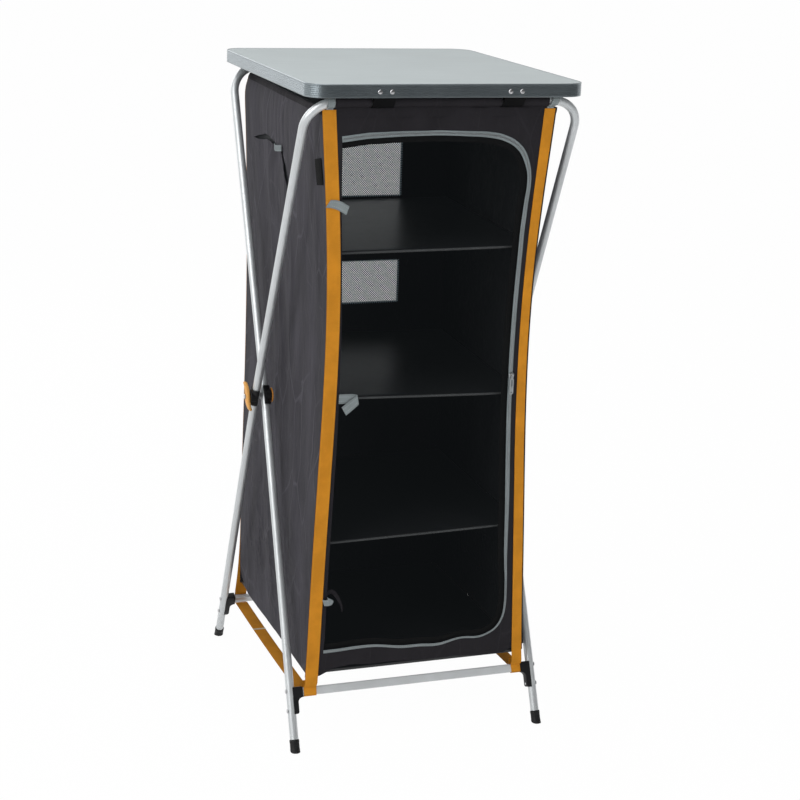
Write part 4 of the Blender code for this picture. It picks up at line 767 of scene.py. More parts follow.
FRONT_TILT = Vector((0, front_y(BODY_TOP_Z) - front_y(BODY_FOOT_Z), BODY_TALL))
REAR_TILT = Vector((0, rear_y(BODY_TOP_Z) - rear_y(BODY_FOOT_Z), BODY_TALL))
FRONT_OUT = ACROSS.cross(FRONT_TILT).normalized()
REAR_OUT = -ACROSS.cross(REAR_TILT).normalized()
FRONT_PLANE = basis(Vector((0, front_y(BODY_FOOT_Z), BODY_FOOT_Z)), ACROSS, FRONT_TILT)
REAR_PLANE = basis(Vector((0, rear_y(BODY_FOOT_Z), BODY_FOOT_Z)), -ACROSS, REAR_TILT)


def climb(z, tilt):
    """Return how far up a plane that leans like tilt a height lies."""
    return (z - BODY_FOOT_Z) * tilt.length / tilt.z


def hem_front(x):
    """Return the height of the front cloth's wavy lower edge."""
    spots = [-0.24, -0.193, -0.166, -0.128, -0.087, -0.026, 0.032, 0.068, 0.150, 0.186, 0.196, 0.24]
    levels = [0.131, 0.132, 0.144, 0.1495, 0.147, 0.145, 0.145, 0.142, 0.1406, 0.1396, 0.146, 0.158]
    return np.interp(x, spots, levels)


def ridge(distance, width):
    """Return a fold's rounded height at a distance from its crest."""
    return 1.0 / (1.0 + (distance / width) ** 2)


def side_folds(y, z, side):
    """Return how far a side stands out in soft upright folds, none of them quite straight."""
    share = np.clip((y - front_y(z)) / (rear_y(z) - front_y(z)), 0, 1)
    height = (z - BODY_FOOT_Z) / BODY_TALL
    rng = np.random.default_rng(7 if side < 0 else 11)
    total = np.zeros(np.broadcast(y, z).shape)
    for _ in range(22):
        foot_y, lean = rng.uniform(-0.22, 0.24), rng.uniform(-0.14, 0.20)
        centre, reach = rng.uniform(0.25, 1.15), rng.uniform(0.10, 0.36)
        width, tall = rng.uniform(0.004, 0.016), rng.uniform(0.0008, 0.0024)
        crest = foot_y + lean * (z - centre) + 0.006 * np.sin(z * 23 + foot_y * 60)
        total += tall * ridge(y - crest, width) * np.exp(-((z - centre) / reach) ** 2)
    fan = np.exp(-((z - 1.203) / 0.10) ** 2) * (0.6 + 0.4 * np.sin(y * 23 + 1.0))
    total += 0.0026 * fan * (0.5 + 0.5 * np.sin(y * 205 + 2.4 * np.sin(y * 37) - 3.0 * (1.2 - z)))
    total += 0.0020 * (0.5 + 0.5 * np.sin(2 * pi * (y + 0.20 * (z - WAIST_Z) * side) / 0.092))
    for number, share_up in enumerate(SHELF_SHARES):
        level = level_at(share_up) + side * SHELF_TILTS[number]
        total += 0.0020 * ridge(z - level + 0.006 * share * share, 0.0045)
    low = np.exp(-((height - 0.11) / 0.13) ** 2)
    total += 0.0030 * low * ridge(np.sin(y * 29 + z * 41 + 1.3 * np.sin(z * 83) + side), 0.28)
    total += 0.0022 * low * ridge(np.sin(y * 47 - z * 36 + 1.1 * np.sin(y * 71)), 0.24)
    ease = np.sin(pi * share) ** 0.8
    calm = np.clip(12 * height * (1 - height) + 0.15, 0, 1)
    most = 0.0078
    return most * np.tanh(total * 1.35 / most) * ease * calm


def vent_sink(y, z):
    """Return how far the left side sinks in at its vent's corner."""
    away = np.hypot(y - VENT_CORNER_Y, VENT_Z - z) / VENT_SINK_R
    inside = (z <= VENT_Z) & (y >= VENT_CORNER_Y - VENT_REACH) & (away <= 1)
    return np.where(inside, VENT_SINK * (1 - away) ** 2 * (3 - 2 * (1 - away)), 0)


def side_lie(side, y, z):
    """Return how far out the middle of a side's cloth lies."""
    out = side_half(side, y, z) + side_folds(y, z, side) - CLOTH / 2
    return out - vent_sink(y, z) if side < 0 else out


def front_lift(x, z):
    """Return how far the front's cloth stands off its plane, calm at its edges and by the slider."""
    left, right = strap_edges(-1, z)[0], strap_edges(1, z)[0]
    edge = np.clip((left + x - 0.004) / 0.03, 0, 1) * np.clip((right - x - 0.004) / 0.03, 0, 1)
    swell = 0.0012 * np.sin(x * 61 + 1.5 * np.sin(z * 19)) + 0.0010 * np.sin(x * 23 - z * 31)
    swell = swell + 0.0026 * np.exp(-((z - 0.155) / 0.028) ** 2) * np.sin(x * 47 + 0.6)
    swell = swell + 0.0020 * np.exp(-((z - 1.195) / 0.022) ** 2) * np.sin(x * 83 + 2.0 * np.sin(x * 17))
    run = np.clip((z - 0.43) / 0.05, 0, 1) * np.clip((0.97 - z) / 0.05, 0, 1)
    near = np.exp(-((x - 0.158) / 0.020) ** 2) * run
    return edge * (swell + 0.0008) * (1 - near)


def on_front(x, z, lift):
    """Return points that stand off the front's plane by lift."""
    return stacked(x, front_y(z) + lift * FRONT_OUT.y, z + lift * FRONT_OUT.z)


# Camera, light and floor

def make_camera():
    data = bpy.data.cameras.new("camera")
    data.lens = 82.45
    data.sensor_width = 36
    data.shift_x = 0.0234
    data.shift_y = -0.0010
    data.clip_end = 200
    made = bpy.data.objects.new("camera", data)
    right, up, back = (0.94570, -0.32299, 0.03639), (0.05763, 0.27679, 0.95920), (-0.31988, -0.90502, 0.28038)
    made.matrix_world = (Matrix.Translation((-1.16769, -3.29312, 1.62128))
                         @ Matrix((right, up, back)).transposed().to_4x4())
    SCENE.collection.objects.link(made)
    SCENE.camera = made


def soft_light(name, place, target, size, power, glossy=True):
    data = bpy.data.lights.new(name, "AREA")
    data.shape = "RECTANGLE"
    data.size, data.size_y = size
    data.energy = power
    made = bpy.data.objects.new(name, data)
    made.matrix_world = along(Vector(place), Vector(place) - Vector(target))
    made.visible_glossy = glossy
    SCENE.collection.objects.link(made)


def make_world():
    """Light the object from all round, and show white to the camera and, behind the front, in metal."""
    world = bpy.data.worlds.new("studio")
    world.use_nodes = True
    SCENE.world = world
    nodes = Nodes(world.node_tree)
    room = nodes.tree.nodes["Background"]
    nodes.join((0.98, 0.99, 1.0), room.inputs["Color"])
    white = nodes.node("ShaderNodeBackground", {"Color": (1, 1, 1)})
    rays = nodes.node("ShaderNodeLightPath", {}).outputs
    axes = nodes.axes(nodes.node("ShaderNodeTexCoord", {}).outputs["Generated"])
    lean = nodes.math("MULTIPLY_ADD", axes["X"], -0.75, axes["Y"])
    inputs = {"Value": lean, "From Min": -0.75, "From Max": 0.35, "To Min": 0.02}
    rear = nodes.node("ShaderNodeMapRange", inputs)
    seen = nodes.times(rays["Is Glossy Ray"], rear.outputs["Result"])
    for kind in ("Is Camera Ray", "Is Transmission Ray"):
        seen = nodes.math("MAXIMUM", seen, rays[kind])
    nodes.join(nodes.math("MULTIPLY_ADD", rays["Is Glossy Ray"], -0.28, 0.34), room.inputs["Strength"])
    mix = nodes.node("ShaderNodeMixShader", {0: seen, 1: room.outputs[0], 2: white.outputs[0]})
    nodes.join(mix.outputs[0], nodes.tree.nodes["World Output"].inputs["Surface"])


def make_floor():
    paint = Paint("floor", 0.9)
    paint.finish(paint.blend(paint.noise(paint.spot, 0.6, 2.0), (0.93,) * 3, (0.95,) * 3))
    glow = paint.node("ShaderNodeEmission", {"Color": (1, 1, 1), "Strength": 1.0})
    rays = paint.node("ShaderNodeLightPath", {}).outputs
    behind = paint.span(paint.axes(paint.spot)[1], -1.2, 0.6, 0.06, 1.0)
    seen = paint.math("MAXIMUM", paint.times(rays["Is Glossy Ray"], behind),
                      rays["Is Transmission Ray"])
    share = paint.times(paint.math("MAXIMUM", rays["Is Camera Ray"], seen), 0.985)
    mix = paint.node("ShaderNodeMixShader", {0: share, 1: paint.shader.outputs[0], 2: glow.outputs[0]})
    paint.join(mix.outputs[0], paint.tree.nodes["Material Output"].inputs["Surface"])
    size = 60.0
    verts = [(-size, -size, 0), (size, -size, 0), (size, size, 0), (-size, size, 0)]
    build("studio_floor", verts, [(0, 1, 2, 3)], paint.made, smooth=False)


def make_studio():
    """Light the object softly from the left, the front and above, on a pale floor."""
    make_world()
    soft_light("key_left", (-3.2, -1.6, 2.4), (0, 0, 0.7), (2.6, 2.6), 64)
    soft_light("key_top", (-0.5, -0.7, 3.6), (0, 0, 0.6), (2.4, 2.4), 24)
    soft_light("fill_front", (1.6, -3.6, 1.6), (0, 0, 0.6), (2.0, 2.4), 42, glossy=False)
    soft_light("edge_rear", (-1.5, 3.2, 2.2), (0, 0, 0.8), (2.2, 2.2), 30)
    make_floor()


# Tabletop

def ring_path():
    """Return the tabletop's outline as points with the outward direction at each."""
    places = []
    for x, y, start in ((1, -1, -pi / 2), (1, 1, 0), (-1, 1, pi / 2), (-1, -1, pi)):
        centre = (x * (TOP_WIDTH / 2 - TOP_CORNER), y * (TOP_DEPTH / 2 - TOP_CORNER))
        for step in range(19):
            angle = start + pi / 2 * step / 18
            places.append((centre[0] + TOP_CORNER * cos(angle), centre[1] + TOP_CORNER * sin(angle),
                           cos(angle), sin(angle)))
    return places


def make_tabletop():
    top, foot, ledge = TOP_HEIGHT, TOP_HEIGHT - RIM_HEIGHT, TOP_HEIGHT - LEDGE_DROP
    section = [(RIM_WALL, top - 0.0004), (RIM_WALL - 0.0004, top), (0.0007, top), (0.0, top - 0.0007)]
    ribs = 6
    band_top, band_foot = top - 0.0030, foot + 0.0016
    pitch = (band_top - band_foot) / ribs
    for high in (band_top - rib * pitch for rib in range(ribs)):
        section += [(0.0, high), (0.0007, high - pitch * 0.16), (0.0007, high - pitch * 0.30),
                    (0.0001, high - pitch * 0.46)]
    section += [(0.0, band_foot), (0.0, foot + 0.0007), (0.0007, foot), (RIM_WALL - 0.0004, foot),
                (RIM_WALL, foot + 0.0004), (RIM_WALL, ledge - LEDGE_THICK),
                (LEDGE_WIDTH, ledge - LEDGE_THICK), (LEDGE_WIDTH, ledge), (RIM_WALL, ledge)]
    rings = [[Vector((x - nx * inset, y - ny * inset, z)) for inset, z in section]
             for x, y, nx, ny in ring_path()]
    carried(lofted("reeded_rim", rings, RIM, closed=True), "rim_aluminium", "top_edge_frame")

    low, high, wall = ledge + GAP, ledge + GAP + PANEL_THICK, RIM_WALL + GAP
    levels = [(0.0010, low), (0.0, low + 0.0008), (0.0, high - 0.0012), (0.0003, high - 0.0004),
              (0.0010, high), (0.0045, high), (0.0200, high), (0.0340, high)]
    rings = [[Vector((x - nx * (wall + inset), y - ny * (wall + inset), z)) for x, y, nx, ny in ring_path()]
             for inset, z in levels]
    carried(lofted("top_board", rings, TOP), "top_laminate", "top_panel")

    for end, tube_y in ((-1, FRONT_TUBE_Y), (1, REAR_TUBE_Y)):
        for side in (-1, 1):
            make_clip(end, side, tube_y)


def make_clip(end, side, tube_y):
    """Make a plate inside the rim: round the front tube a closed hinge, on the rear tube an open hook."""
    label = ("front_hinge_" if end < 0 else "rear_hook_") + ("left" if side < 0 else "right")
    drop = TOP_DEPTH / 2 - RIM_WALL - GAP - abs(tube_y)
    leaf_top = TOP_HEIGHT - LEDGE_DROP - LEDGE_THICK - GAP - TOP_TUBE_Z
    leaf_foot = RIM_HEIGHT / 4
    inner, outer = TUBE_R + GAP, TUBE_R + GAP + CLIP_WALL
    reach = asin(leaf_foot / outer)
    matrix = basis(Vector((side * CLIP_X, tube_y, TOP_TUBE_Z)), (0, end, 0), UP)
    shape = [(drop, leaf_foot), (drop, leaf_top), (drop - CLIP_WALL, leaf_top), (drop - CLIP_WALL, outer)]
    if end < 0:
        shape += arc((0, 0), outer, pi / 2, 2 * pi - reach, 36)
    else:
        shape += [(0, outer), (0, inner)] + arc((0, 0), inner, pi / 2, -reach, 22)
        shape += [(outer, inner * sin(-reach))]
    clip = prism(shape, matrix, CLIP_WIDTH / 2, label + "_clip", CLIP_BLACK)
    if end < 0:
        cut(clip, [hole(inner, matrix, CLIP_WIDTH, 40)])
    rounded_edges(clip, 0.0005)
    carried(clip, "black_plastic", label)
    for step, tag in ((-0.5, "a"), (0.5, "b")):
        head = Vector((side * CLIP_X + step * CLIP_RIVET_SPACING, end * (TOP_DEPTH / 2 + GAP),
                       TOP_HEIGHT - CLIP_RIVET_DROP))
        make_rivet(f"{label}_rivet_{tag}", CLIP_RIVET, head, (0, end, 0), "tabletop", 24)


# Tube frames

class Frame:
    """One U-shaped tube frame: t is the distance down its plane from the middle of its top tube."""

    def __init__(self, top_y, foot_y, hub_x, end_x):
        self.top_y = top_y
        self.hub_x = hub_x
        self.end_x = end_x
        self.length = hypot(foot_y - top_y, TOP_TUBE_Z)
        self.down = Vector((0, foot_y - top_y, -TOP_TUBE_Z)) / self.length
        self.normal = ACROSS.cross(self.down).normalized()

    def at(self, x, t):
        return Vector((x, self.top_y, TOP_TUBE_Z)) + self.down * t

    def t_at_height(self, z):
        return (TOP_TUBE_Z - z) / -self.down.z

    def leg_x(self, t):
        hub_t = self.t_at_height(HUB.z)
        share = t / hub_t if t < hub_t else (self.length - t) / (self.length - hub_t)
        return mixed(self.end_x, self.hub_x, share)

    def leg_at(self, side, t):
        return self.at(side * self.leg_x(t), t)

    def lower_leg(self, side):
        hub_t = self.t_at_height(HUB.z)
        return (self.leg_at(side, hub_t) - self.leg_at(side, self.length)).normalized()

    def points(self):
        hub_t = self.t_at_height(HUB.z)
        spots = [self.length - TUBE_LIFT, self.length * 0.75, hub_t + 0.02, hub_t, hub_t - 0.02, hub_t * 0.5]
        half = [(self.leg_x(t), t) for t in spots]
        start_x = self.leg_x(BEND_R)
        half += arc((start_x - BEND_R, BEND_R), BEND_R, 0, -pi / 2, 20)
        half += [((start_x - BEND_R) / 2, 0)]
        return [self.at(x, t) for x, t in half] + [self.at(-x, t) for x, t in reversed(half)]


FRAME_A = Frame(FRONT_TUBE_Y, REAR_FOOT_Y, A_HUB_X, A_END_X)
FRAME_B = Frame(REAR_TUBE_Y, FRONT_FOOT_Y, B_HUB_X, B_END_X)


def make_frame(letter, geometry, label):
    """Make one frame's tube and crossbar, with the caps and brackets of its feet."""
    bent = tube(f"frame_{letter}_bent_tube", geometry.points(), TUBE_R, TUBE)
    carried(bent, "tube_aluminium", f"frame_{letter}_tube")
    bar_t = geometry.t_at_height(BAR_Z)
    half = geometry.leg_x(bar_t) - SOCKET_FLOOR - GAP
    matrix = basis(geometry.at(0, bar_t), geometry.normal, geometry.down)
    section = rounded(-BAR_DEEP / 2, BAR_DEEP / 2, -BAR_HIGH / 2, BAR_HIGH / 2, BAR_ROUND, 5)
    bar = lofted(label + "_flat_bar", [[matrix @ Vector((x, y, end)) for x, y in section]
                                       for end in np.linspace(-half, half, 9)], BAR)
    carried(bar, "bar_aluminium", label + "_crossbar")
    for side, hand in ((-1, "_left"), (1, "_right")):
        make_foot("foot_cap_" + label + hand, geometry, side)
        make_bracket(label + "_bracket" + hand, geometry, side, bar_t)


def make_foot(node, geometry, side):
    """Make a foot's ribbed cap, flat where it stands on the floor."""
    rise = geometry.lower_leg(side)
    matrix = along(geometry.leg_at(side, geometry.length), rise)
    profile = [(0.0004, -0.0110), (CAP_R * 0.80, -0.0110), (CAP_R * 0.95, -0.0085), (CAP_R * 0.99, -0.0050),
               (CAP_R, 0.0), (CAP_R, 0.0040), (CAP_R * 0.970, 0.0050), (CAP_R * 0.970, 0.0160),
               (CAP_R, 0.0170), (CAP_R, CAP_HEIGHT - 0.0012), (CAP_R - 0.0004, CAP_HEIGHT - 0.0003),
               (CAP_R - 0.0009, CAP_HEIGHT), (TUBE_R + GAP, CAP_HEIGHT), (TUBE_R + GAP, TUBE_LIFT - GAP),
               (0.0004, TUBE_LIFT - GAP)]
    made = turned(node + "_cup", profile, matrix, RUBBER)
    for vert in made.data.vertices:
        vert.co.z = max(vert.co.z, 0.0)
    carried(made, "cap_plastic", node)


def make_bracket(node, geometry, side, bar_t):
    """Make a riveted knee between a leg and its crossbar."""
    rise = geometry.lower_leg(side)
    inward = -side * geometry.normal.cross(rise)
    if inward.x * side > 0:
        inward = -inward
    origin = geometry.leg_at(side, bar_t)
    start, pad, drop, reach, high = 0.002, BRACKET_PAD, BRACKET_DROP, BRACKET_REACH, BRACKET_RISE
    wide, tall = reach - pad, BRACKET_ELBOW - BRACKET_SOLE
    outline = [(start, high - 0.0010), (start, -drop)]
    outline += arc((pad - BRACKET_FOOT_R, BRACKET_FOOT_R - drop), BRACKET_FOOT_R, -pi / 2, 0, 8)
    outline += [(reach - wide * share, tall * up - BRACKET_ELBOW)
                for share, up in arc((0, 0), 1, 0, pi / 2, 12)]
    outline += [(reach, high - 0.0015), (reach - 0.0015, high), (start + 0.0020, high)]
    matrix = basis(origin, inward, rise)
    knee = prism(outline, matrix, BRACKET_DEEP / 2, node + "_knee")
    groove = hole(TUBE_R + GAP, along(origin, rise), 2.5 * BRACKET_DROP, 32)
    slot = reach - SOCKET_FLOOR + 0.004
    middle = origin + ACROSS * -side * (SOCKET_FLOOR + slot / 2)
    socket = block(BAR_DEEP / 2 + GAP, -BAR_HIGH / 2 - GAP, BAR_HIGH / 2 + GAP,
                   basis(middle, geometry.normal, geometry.down), slot / 2)
    cut(knee, [groove, socket])
    rounded_edges(knee, 0.0008, 3, 40)
    carried(knee, "black_plastic", node)
    for step, tag in zip(KNEE_RIVETS, "ab"):
        head = origin + rise * step - inward * (TUBE_R + GAP)
        make_rivet(f"{node}_rivet_{tag}", KNEE_RIVET, head, -inward, BODY_OF[node], 20)
    small = [(radius * 0.62, height * 0.6) for radius, height in KNEE_RIVET]
    tail = origin + rise * KNEE_RIVETS[1] + inward * pad
    make_rivet(node + "_rivet_end", small, tail, inward, BODY_OF[node], 16)


def make_wing(node, side):
    """Make the S-shaped lever outside a hub: it leaves the hub at its top and nears it below."""
    middle = Vector((side * (A_HUB_X + SADDLE_OUT + GAP + WING_THICK / 2), HUB.y, HUB.z))
    tilted = Matrix.Rotation(WING_TILT, 4, "X")
    rise, wide, out = tilted @ UP, tilted @ Vector((0, 1, 0)), ACROSS * side
    rings, sides, square = [], 36, 0.72
    for turn in np.linspace(0, pi, 43):
        share = -cos(turn)
        close = min(1.0, (1 - abs(share)) / 0.11)
        shut = max(0.03, (1 - (1 - close) ** 2) ** 0.5)
        bend = (WING_TOP_BEND if share > 0 else WING_FOOT_BEND) * share ** 3
        half = mixed(WING_HALF_WIDTH, WING_TIP_HALF_WIDTH, share * share) * shut
        thick = WING_THICK / 2 * (1 - 0.25 * share * share) * shut
        centre = middle + rise * share * WING_LENGTH / 2 + out * bend
        ring = []
        for step in range(sides):
            angle = 2 * pi * step / sides * side
            level = (abs(cos(angle)) ** square, abs(sin(angle)) ** square)
            ring.append(centre + wide * half * level[0] * (1 if cos(angle) > 0 else -1)
                        + out * thick * level[1] * (1 if sin(angle) > 0 else -1))
        rings.append(ring)
    wing = lofted(node + "_lever", rings, ORANGE)
    shape = bmesh.new()
    shape.from_mesh(wing.data)
    bmesh.ops.recalc_face_normals(shape, faces=shape.faces)
    shape.to_mesh(wing.data)
    shape.free()
    cut(wing, [hole(WING_BORE_R, basis(middle, wide, rise), 0.02, 28)])
    wing.data.shade_smooth()
    wing.data.set_sharp_from_angle(angle=radians(44))
    carried(wing, "orange_plastic", node)


# Fabric body

def make_side(node, side):
    """Make one side's cloth and the hem along its top, in the darker front cloth as painted shade for the
    rim's shadow.
    """
    u, v = grid(150, 300)
    level = level_at(v)
    run = 1 - u if side < 0 else u
    y = mixed(front_y(level) + CLOTH / 2 + GAP, rear_y(level) - CLOTH / 2 - GAP, run)
    z = mixed(side_foot(y) if side < 0 else HEM_Z, BODY_TOP_Z, v)
    wall = shell(node + "_cloth", stacked(side * side_lie(side, y, z), y, z), CLOTH, [SIDE, INSIDE])
    if side < 0:
        cut(wall, [vent_cutter()])
    sewn(wall, "side_fabric", node)
    # The hem band is made in the darker front cloth: painted shade for the rim's shadow over it.
    u, v = grid(120, 3)
    run = 1 - u if side < 0 else u
    z = mixed(BODY_TOP_Z - 0.0105, BODY_TOP_Z - 0.0006, v)
    y = mixed(front_y(z) + CLOTH, rear_y(z) - CLOTH, run)
    out = side_lie(side, y, z) + CLOTH / 2 + 0.0010 + 0.0004 * np.sin(v * pi)
    sewn(shell(node + "_hem", stacked(side * out, y, z), 0.0012, FRONT_SHADED_CLOTH), "front_fabric")


def make_vent():
    """Make the rolled edge of the flap at the left side's vent, and the dark cloth behind the slit."""
    edge = [(-float(side_lie(-1, y, z)), y, z) for y, z in curved(VENT_FLAP, 6)]
    sewn(tube("vent_flap_edge", edge, 0.0010, SIDE, 10), "side_fabric")
    across, up = grid(40, 30)
    y, z = mixed(0.2150, -0.0850, across), mixed(0.9900, 1.1350, up)
    lining = shell("vent_lining_cloth", stacked(0.0045 - side_lie(-1, y, z), y, z), CLOTH / 2, INSIDE)
    sewn(lining, "lining_fabric")


def vent_cutter():
    """Return the crescent that is cut from the left side for its vent: along its top, then down."""
    outer = curved([(0.2000, 1.0957), (0.1660, 1.1036), (0.1352, 1.1099), (0.0972, 1.1166), (0.0561, 1.1115),
                    (0.0346, 1.1060), (0.0130, 1.1020), (-0.0075, 1.0962), (-0.0275, 1.0850),
                    (-0.0450, 1.0690), (-0.0580, 1.0400), (-0.0600, 1.0120)], 3)
    inner = curved(VENT_FLAP[::-1] + [(0.0986, 1.1065), (0.1273, 1.1012), (0.1660, 1.0972)], 3)
    matrix = basis(Vector((-REAR_HALF, 0, 0)), (0, 1, 0), UP)
    return prism([tuple(spot) for spot in np.concatenate([outer, inner])], matrix, DEEP_CUT)


def zip_path(offset):
    """Return the zip's line on the front, as x and z, moved inward by an offset for each spot."""
    ahead = np.gradient(ZIP_LINE[:, :2], axis=0)
    ahead /= np.linalg.norm(ahead, axis=1, keepdims=True)
    return ZIP_LINE[:, :2] + np.stack([-ahead[:, 1], ahead[:, 0]], axis=1) * offset[:, None]


def make_front():
    """Make the front's cloth with its door opening, and the black welt behind the opening's edge."""
    u, v = grid(130, 250)
    flat = level_at(v)
    x = mixed(-front_half(-1, flat), front_half(1, flat), u)
    hem = 0.06
    z = np.where(v < hem, mixed(hem_front(x), level_at(hem), v / hem), flat)
    wall = shell("front_panel_cloth", on_front(x, z, front_lift(x, z)), CLOTH, [FRONT_SHADED_CLOTH, INSIDE])
    half = ZIP_LINE[:, 2]
    inner = zip_path(half - 0.0012)
    left = [(float(LEFT_DOOR(z)), z) for z in np.linspace(inner[-1, 1], inner[0, 1], 40)[1:-1]]
    edge = [tuple(spot) for spot in inner] + left
    cut(wall, [prism([(x, climb(z, FRONT_TILT)) for x, z in edge], FRONT_PLANE, DEEP_CUT)])
    sewn(wall, "front_fabric", "front_panel")
    shares = np.linspace(0, 1, 5)[None, :]
    near, far = zip_path(half - 0.0020), zip_path(half + DOOR_WELT)
    x, z = (mixed(near[:, axis, None], far[:, axis, None], shares) for axis in (0, 1))
    x = np.maximum(x, LEFT_DOOR(z) - 0.002)
    lift = front_lift(x, z) - CLOTH / 2 - 0.0010 - 0.0015 * shares
    sewn(shell("door_welt", on_front(x, z, lift)[:, ::-1], 0.0010, WELT), "black_fabric")


def make_back():
    """Make the back's cloth with its two windows."""
    u, v = grid(100, 220)
    z = level_at(v)
    x = (1 - 2 * u) * rear_half(z)
    inside = (1 - np.abs(2 * u - 1) ** 6) * np.clip(14 * v * (1 - v), 0, 1)
    lift = inside * (0.0014 * np.sin(x * 38 + 2 * np.sin(z * 13)) + 0.0012 * np.sin(z * 27 + x * 12))
    y = rear_y(z) + (lift - 0.0003) * REAR_OUT.y
    wall = shell("back_panel_cloth", stacked(x, y, z), CLOTH, [SIDE, INSIDE])
    heights = [[climb(level_at(share), REAR_TILT) for share in shares] for shares in WINDOW_SHARES]
    cut(wall, [prism(window_outline(*window), REAR_PLANE, DEEP_CUT) for window in heights])
    sewn(wall, "side_fabric", "back_panel")
    for label, window in zip(("upper", "lower"), heights):
        make_net(label, *window)
        make_binding(label, *window)


def window_outline(low, high):
    return rounded(-WINDOW_HALF, WINDOW_HALF, low, high, WINDOW_CORNER)


def make_net(label, low, high):
    """Make one window's net from two layers of slanting flat strands."""
    inset = 0.0005
    left, right, foot, top = inset - WINDOW_HALF, WINDOW_HALF - inset, low + inset, high - inset
    step = NET_PITCH * 2 ** 0.5
    verts, faces, uv = [], [], []
    for slope in (1, -1):
        for number in range(1, int(((right - left) + (top - foot)) / step)):
            shift = number * step
            heights = (max(foot, foot + shift - (right - left)), min(top, foot + shift))
            if slope > 0:
                ends = (max(left, right - shift), min(right, right - shift + (top - foot)))
            else:
                ends = (min(right, left + shift), max(left, left + shift - (top - foot)))
            run = Vector((ends[1] - ends[0], heights[1] - heights[0], 0))
            if run.length < 0.004:
                continue
            side = Vector((-run.y, run.x, 0)).normalized() * NET_STRAND / 2
            first = len(verts)
            for x, y in zip(ends, heights):
                for sideways in (-1, 1):
                    for deep in (-1, 1):
                        lift = slope * NET_LAYER + deep * NET_HALF_THICK
                        spot = Vector((x, y, lift)) + side * sideways
                        verts.append(REAR_PLANE @ spot)
                        uv.append((spot.x, spot.y))
            a, b, c, d, e, f, g, h = range(first, first + 8)
            faces += [(a, b, f, e), (c, g, h, d), (a, e, g, c), (b, d, h, f), (a, c, d, b), (e, f, h, g)]
    net = build(f"window_net_{label}", verts, faces, NET, uv, smooth=False)
    sewn(net, "window_mesh", f"mesh_window_{label}")


def make_binding(label, low, high):
    """Make the band that binds the cloth round a window."""
    outline = window_outline(low, high)
    base, overlap = CLOTH / 2 + 0.0022, 0.0030
    rings = []
    for before, here, after in zip(outline[-1:] + outline, outline, outline[1:] + outline):
        run = Vector((after[0] - before[0], after[1] - before[1])).normalized()
        out = Vector((run.y, -run.x))
        near, far = Vector(here) - out * overlap, Vector(here) + out * (BINDING_WIDTH - overlap)
        section = ((near, 0), (far, 0), (far, 0.6), (far * 0.3 + near * 0.7, 1), (near, 0.7))
        rings.append([REAR_PLANE @ Vector((*spot, base + BINDING_THICK * share))
                      for spot, share in section])
    sewn(lofted(f"window_binding_{label}", rings, FRONT_SHADED_CLOTH, closed=True), "black_fabric")


def make_level(name, z, thick, setback, surface, node, slot, sag=0.0, tilt=0.0):
    """Make a level piece that fills the body's plan at z, a little sagged and tilted.

    Return the place of its front edge and of that edge's ends.
    """
    front = float(max(front_y(z - thick / 2), front_y(z + thick / 2))) + setback
    rear = float(min(rear_y(z - thick / 2), rear_y(z + thick / 2))) - CLOTH / 2 - GAP * 2
    u, v = grid(36, 36)
    y = mixed(front, rear, v)
    room = CLOTH + GAP * 2
    left, right = side_half(-1, y, z) - room, side_half(1, y, z) - room
    drop = sag * (1 - (2 * u - 1) ** 2) * (0.35 + 0.65 * np.sin(pi * v)) - tilt * (2 * u - 1)
    board = shell(name, stacked(mixed(-left, right, u), y, z - drop), thick, surface)
    rounded_edges(board, 0.0008, 2, 50)
    sewn(board, slot, node)
    return front, -float(left[0, 0]), float(right[0, 0])


def make_levels():
    make_level("roof_cloth", BODY_TOP_Z - CLOTH / 2, CLOTH, CLOTH / 2 + GAP, INSIDE, "roof_panel",
               "lining_fabric")
    make_level("floor_board", BODY_FOOT_Z + FLOOR_THICK / 2, FLOOR_THICK, CLOTH / 2 + GAP, BOARD,
               "floor_panel", "lining_fabric")
    for label, share, tilt in zip(("upper", "middle", "lower"), SHELF_SHARES, SHELF_TILTS):
        z = level_at(share) - SHELF_THICK / 2
        front, left, right = make_level("shelf_board_" + label, z, SHELF_THICK, SHELF_SETBACK, BOARD,
                                        "shelf_" + label, "shelf_board", 0.0012, tilt)
        path = []
        for along_it in np.linspace(0.003, 0.997, 40):
            lean = 2 * along_it - 1
            path.append((mixed(left, right, along_it), front - 0.0010,
                         z + SHELF_THICK / 2 - PIPING_R + tilt * lean - 0.0004 * (1 - lean * lean)))
        sewn(tube("shelf_piping_" + label, path, PIPING_R, PIPING, 14), "grey_webbing")


# Webbing and sleeves

def band(name, path, width, middle_x, surface, outward, thick=WEBBING):
    """Make a flat band along a path in the YZ plane, its middle at middle_x(z)."""
    across = np.linspace(-0.5, 0.5, 7) * width * outward
    y, z = (np.array([p[axis] for p in path])[:, None] for axis in (0, 1))
    middle = np.array([float(middle_x(p[1])) for p in path])[:, None]
    return shell(name, stacked(middle + across, y, z), thick, surface)


def strap_tail(geometry, end, face_y, lift):
    """Return the end of a strap's path, round its crossbar and in front back up behind the cloth."""
    bar = geometry.at(0, geometry.t_at_height(BAR_Z))
    off = GAP + WEBBING / 2
    deep, high = BAR_DEEP / 2 + off, BAR_HIGH / 2 + off
    out = geometry.normal if geometry.normal.y * end > 0 else -geometry.normal
    low, near = high - BAR_ROUND, deep - BAR_ROUND
    corners = [(deep, -low), (deep, low), (near, high), (-near, high), (-deep, low), (-deep, -low)]
    points = [bar + out * away + geometry.down * fall for away, fall in corners[:4 if end > 0 else 6]]
    knee = BODY_FOOT_Z - STRAP_TAIL
    path = [(float(face_y(BODY_FOOT_Z)) + end * lift, knee)] + [(p.y, p.z) for p in points]
    return path if end > 0 else path + [(points[-1].y - end * WEBBING, knee)]


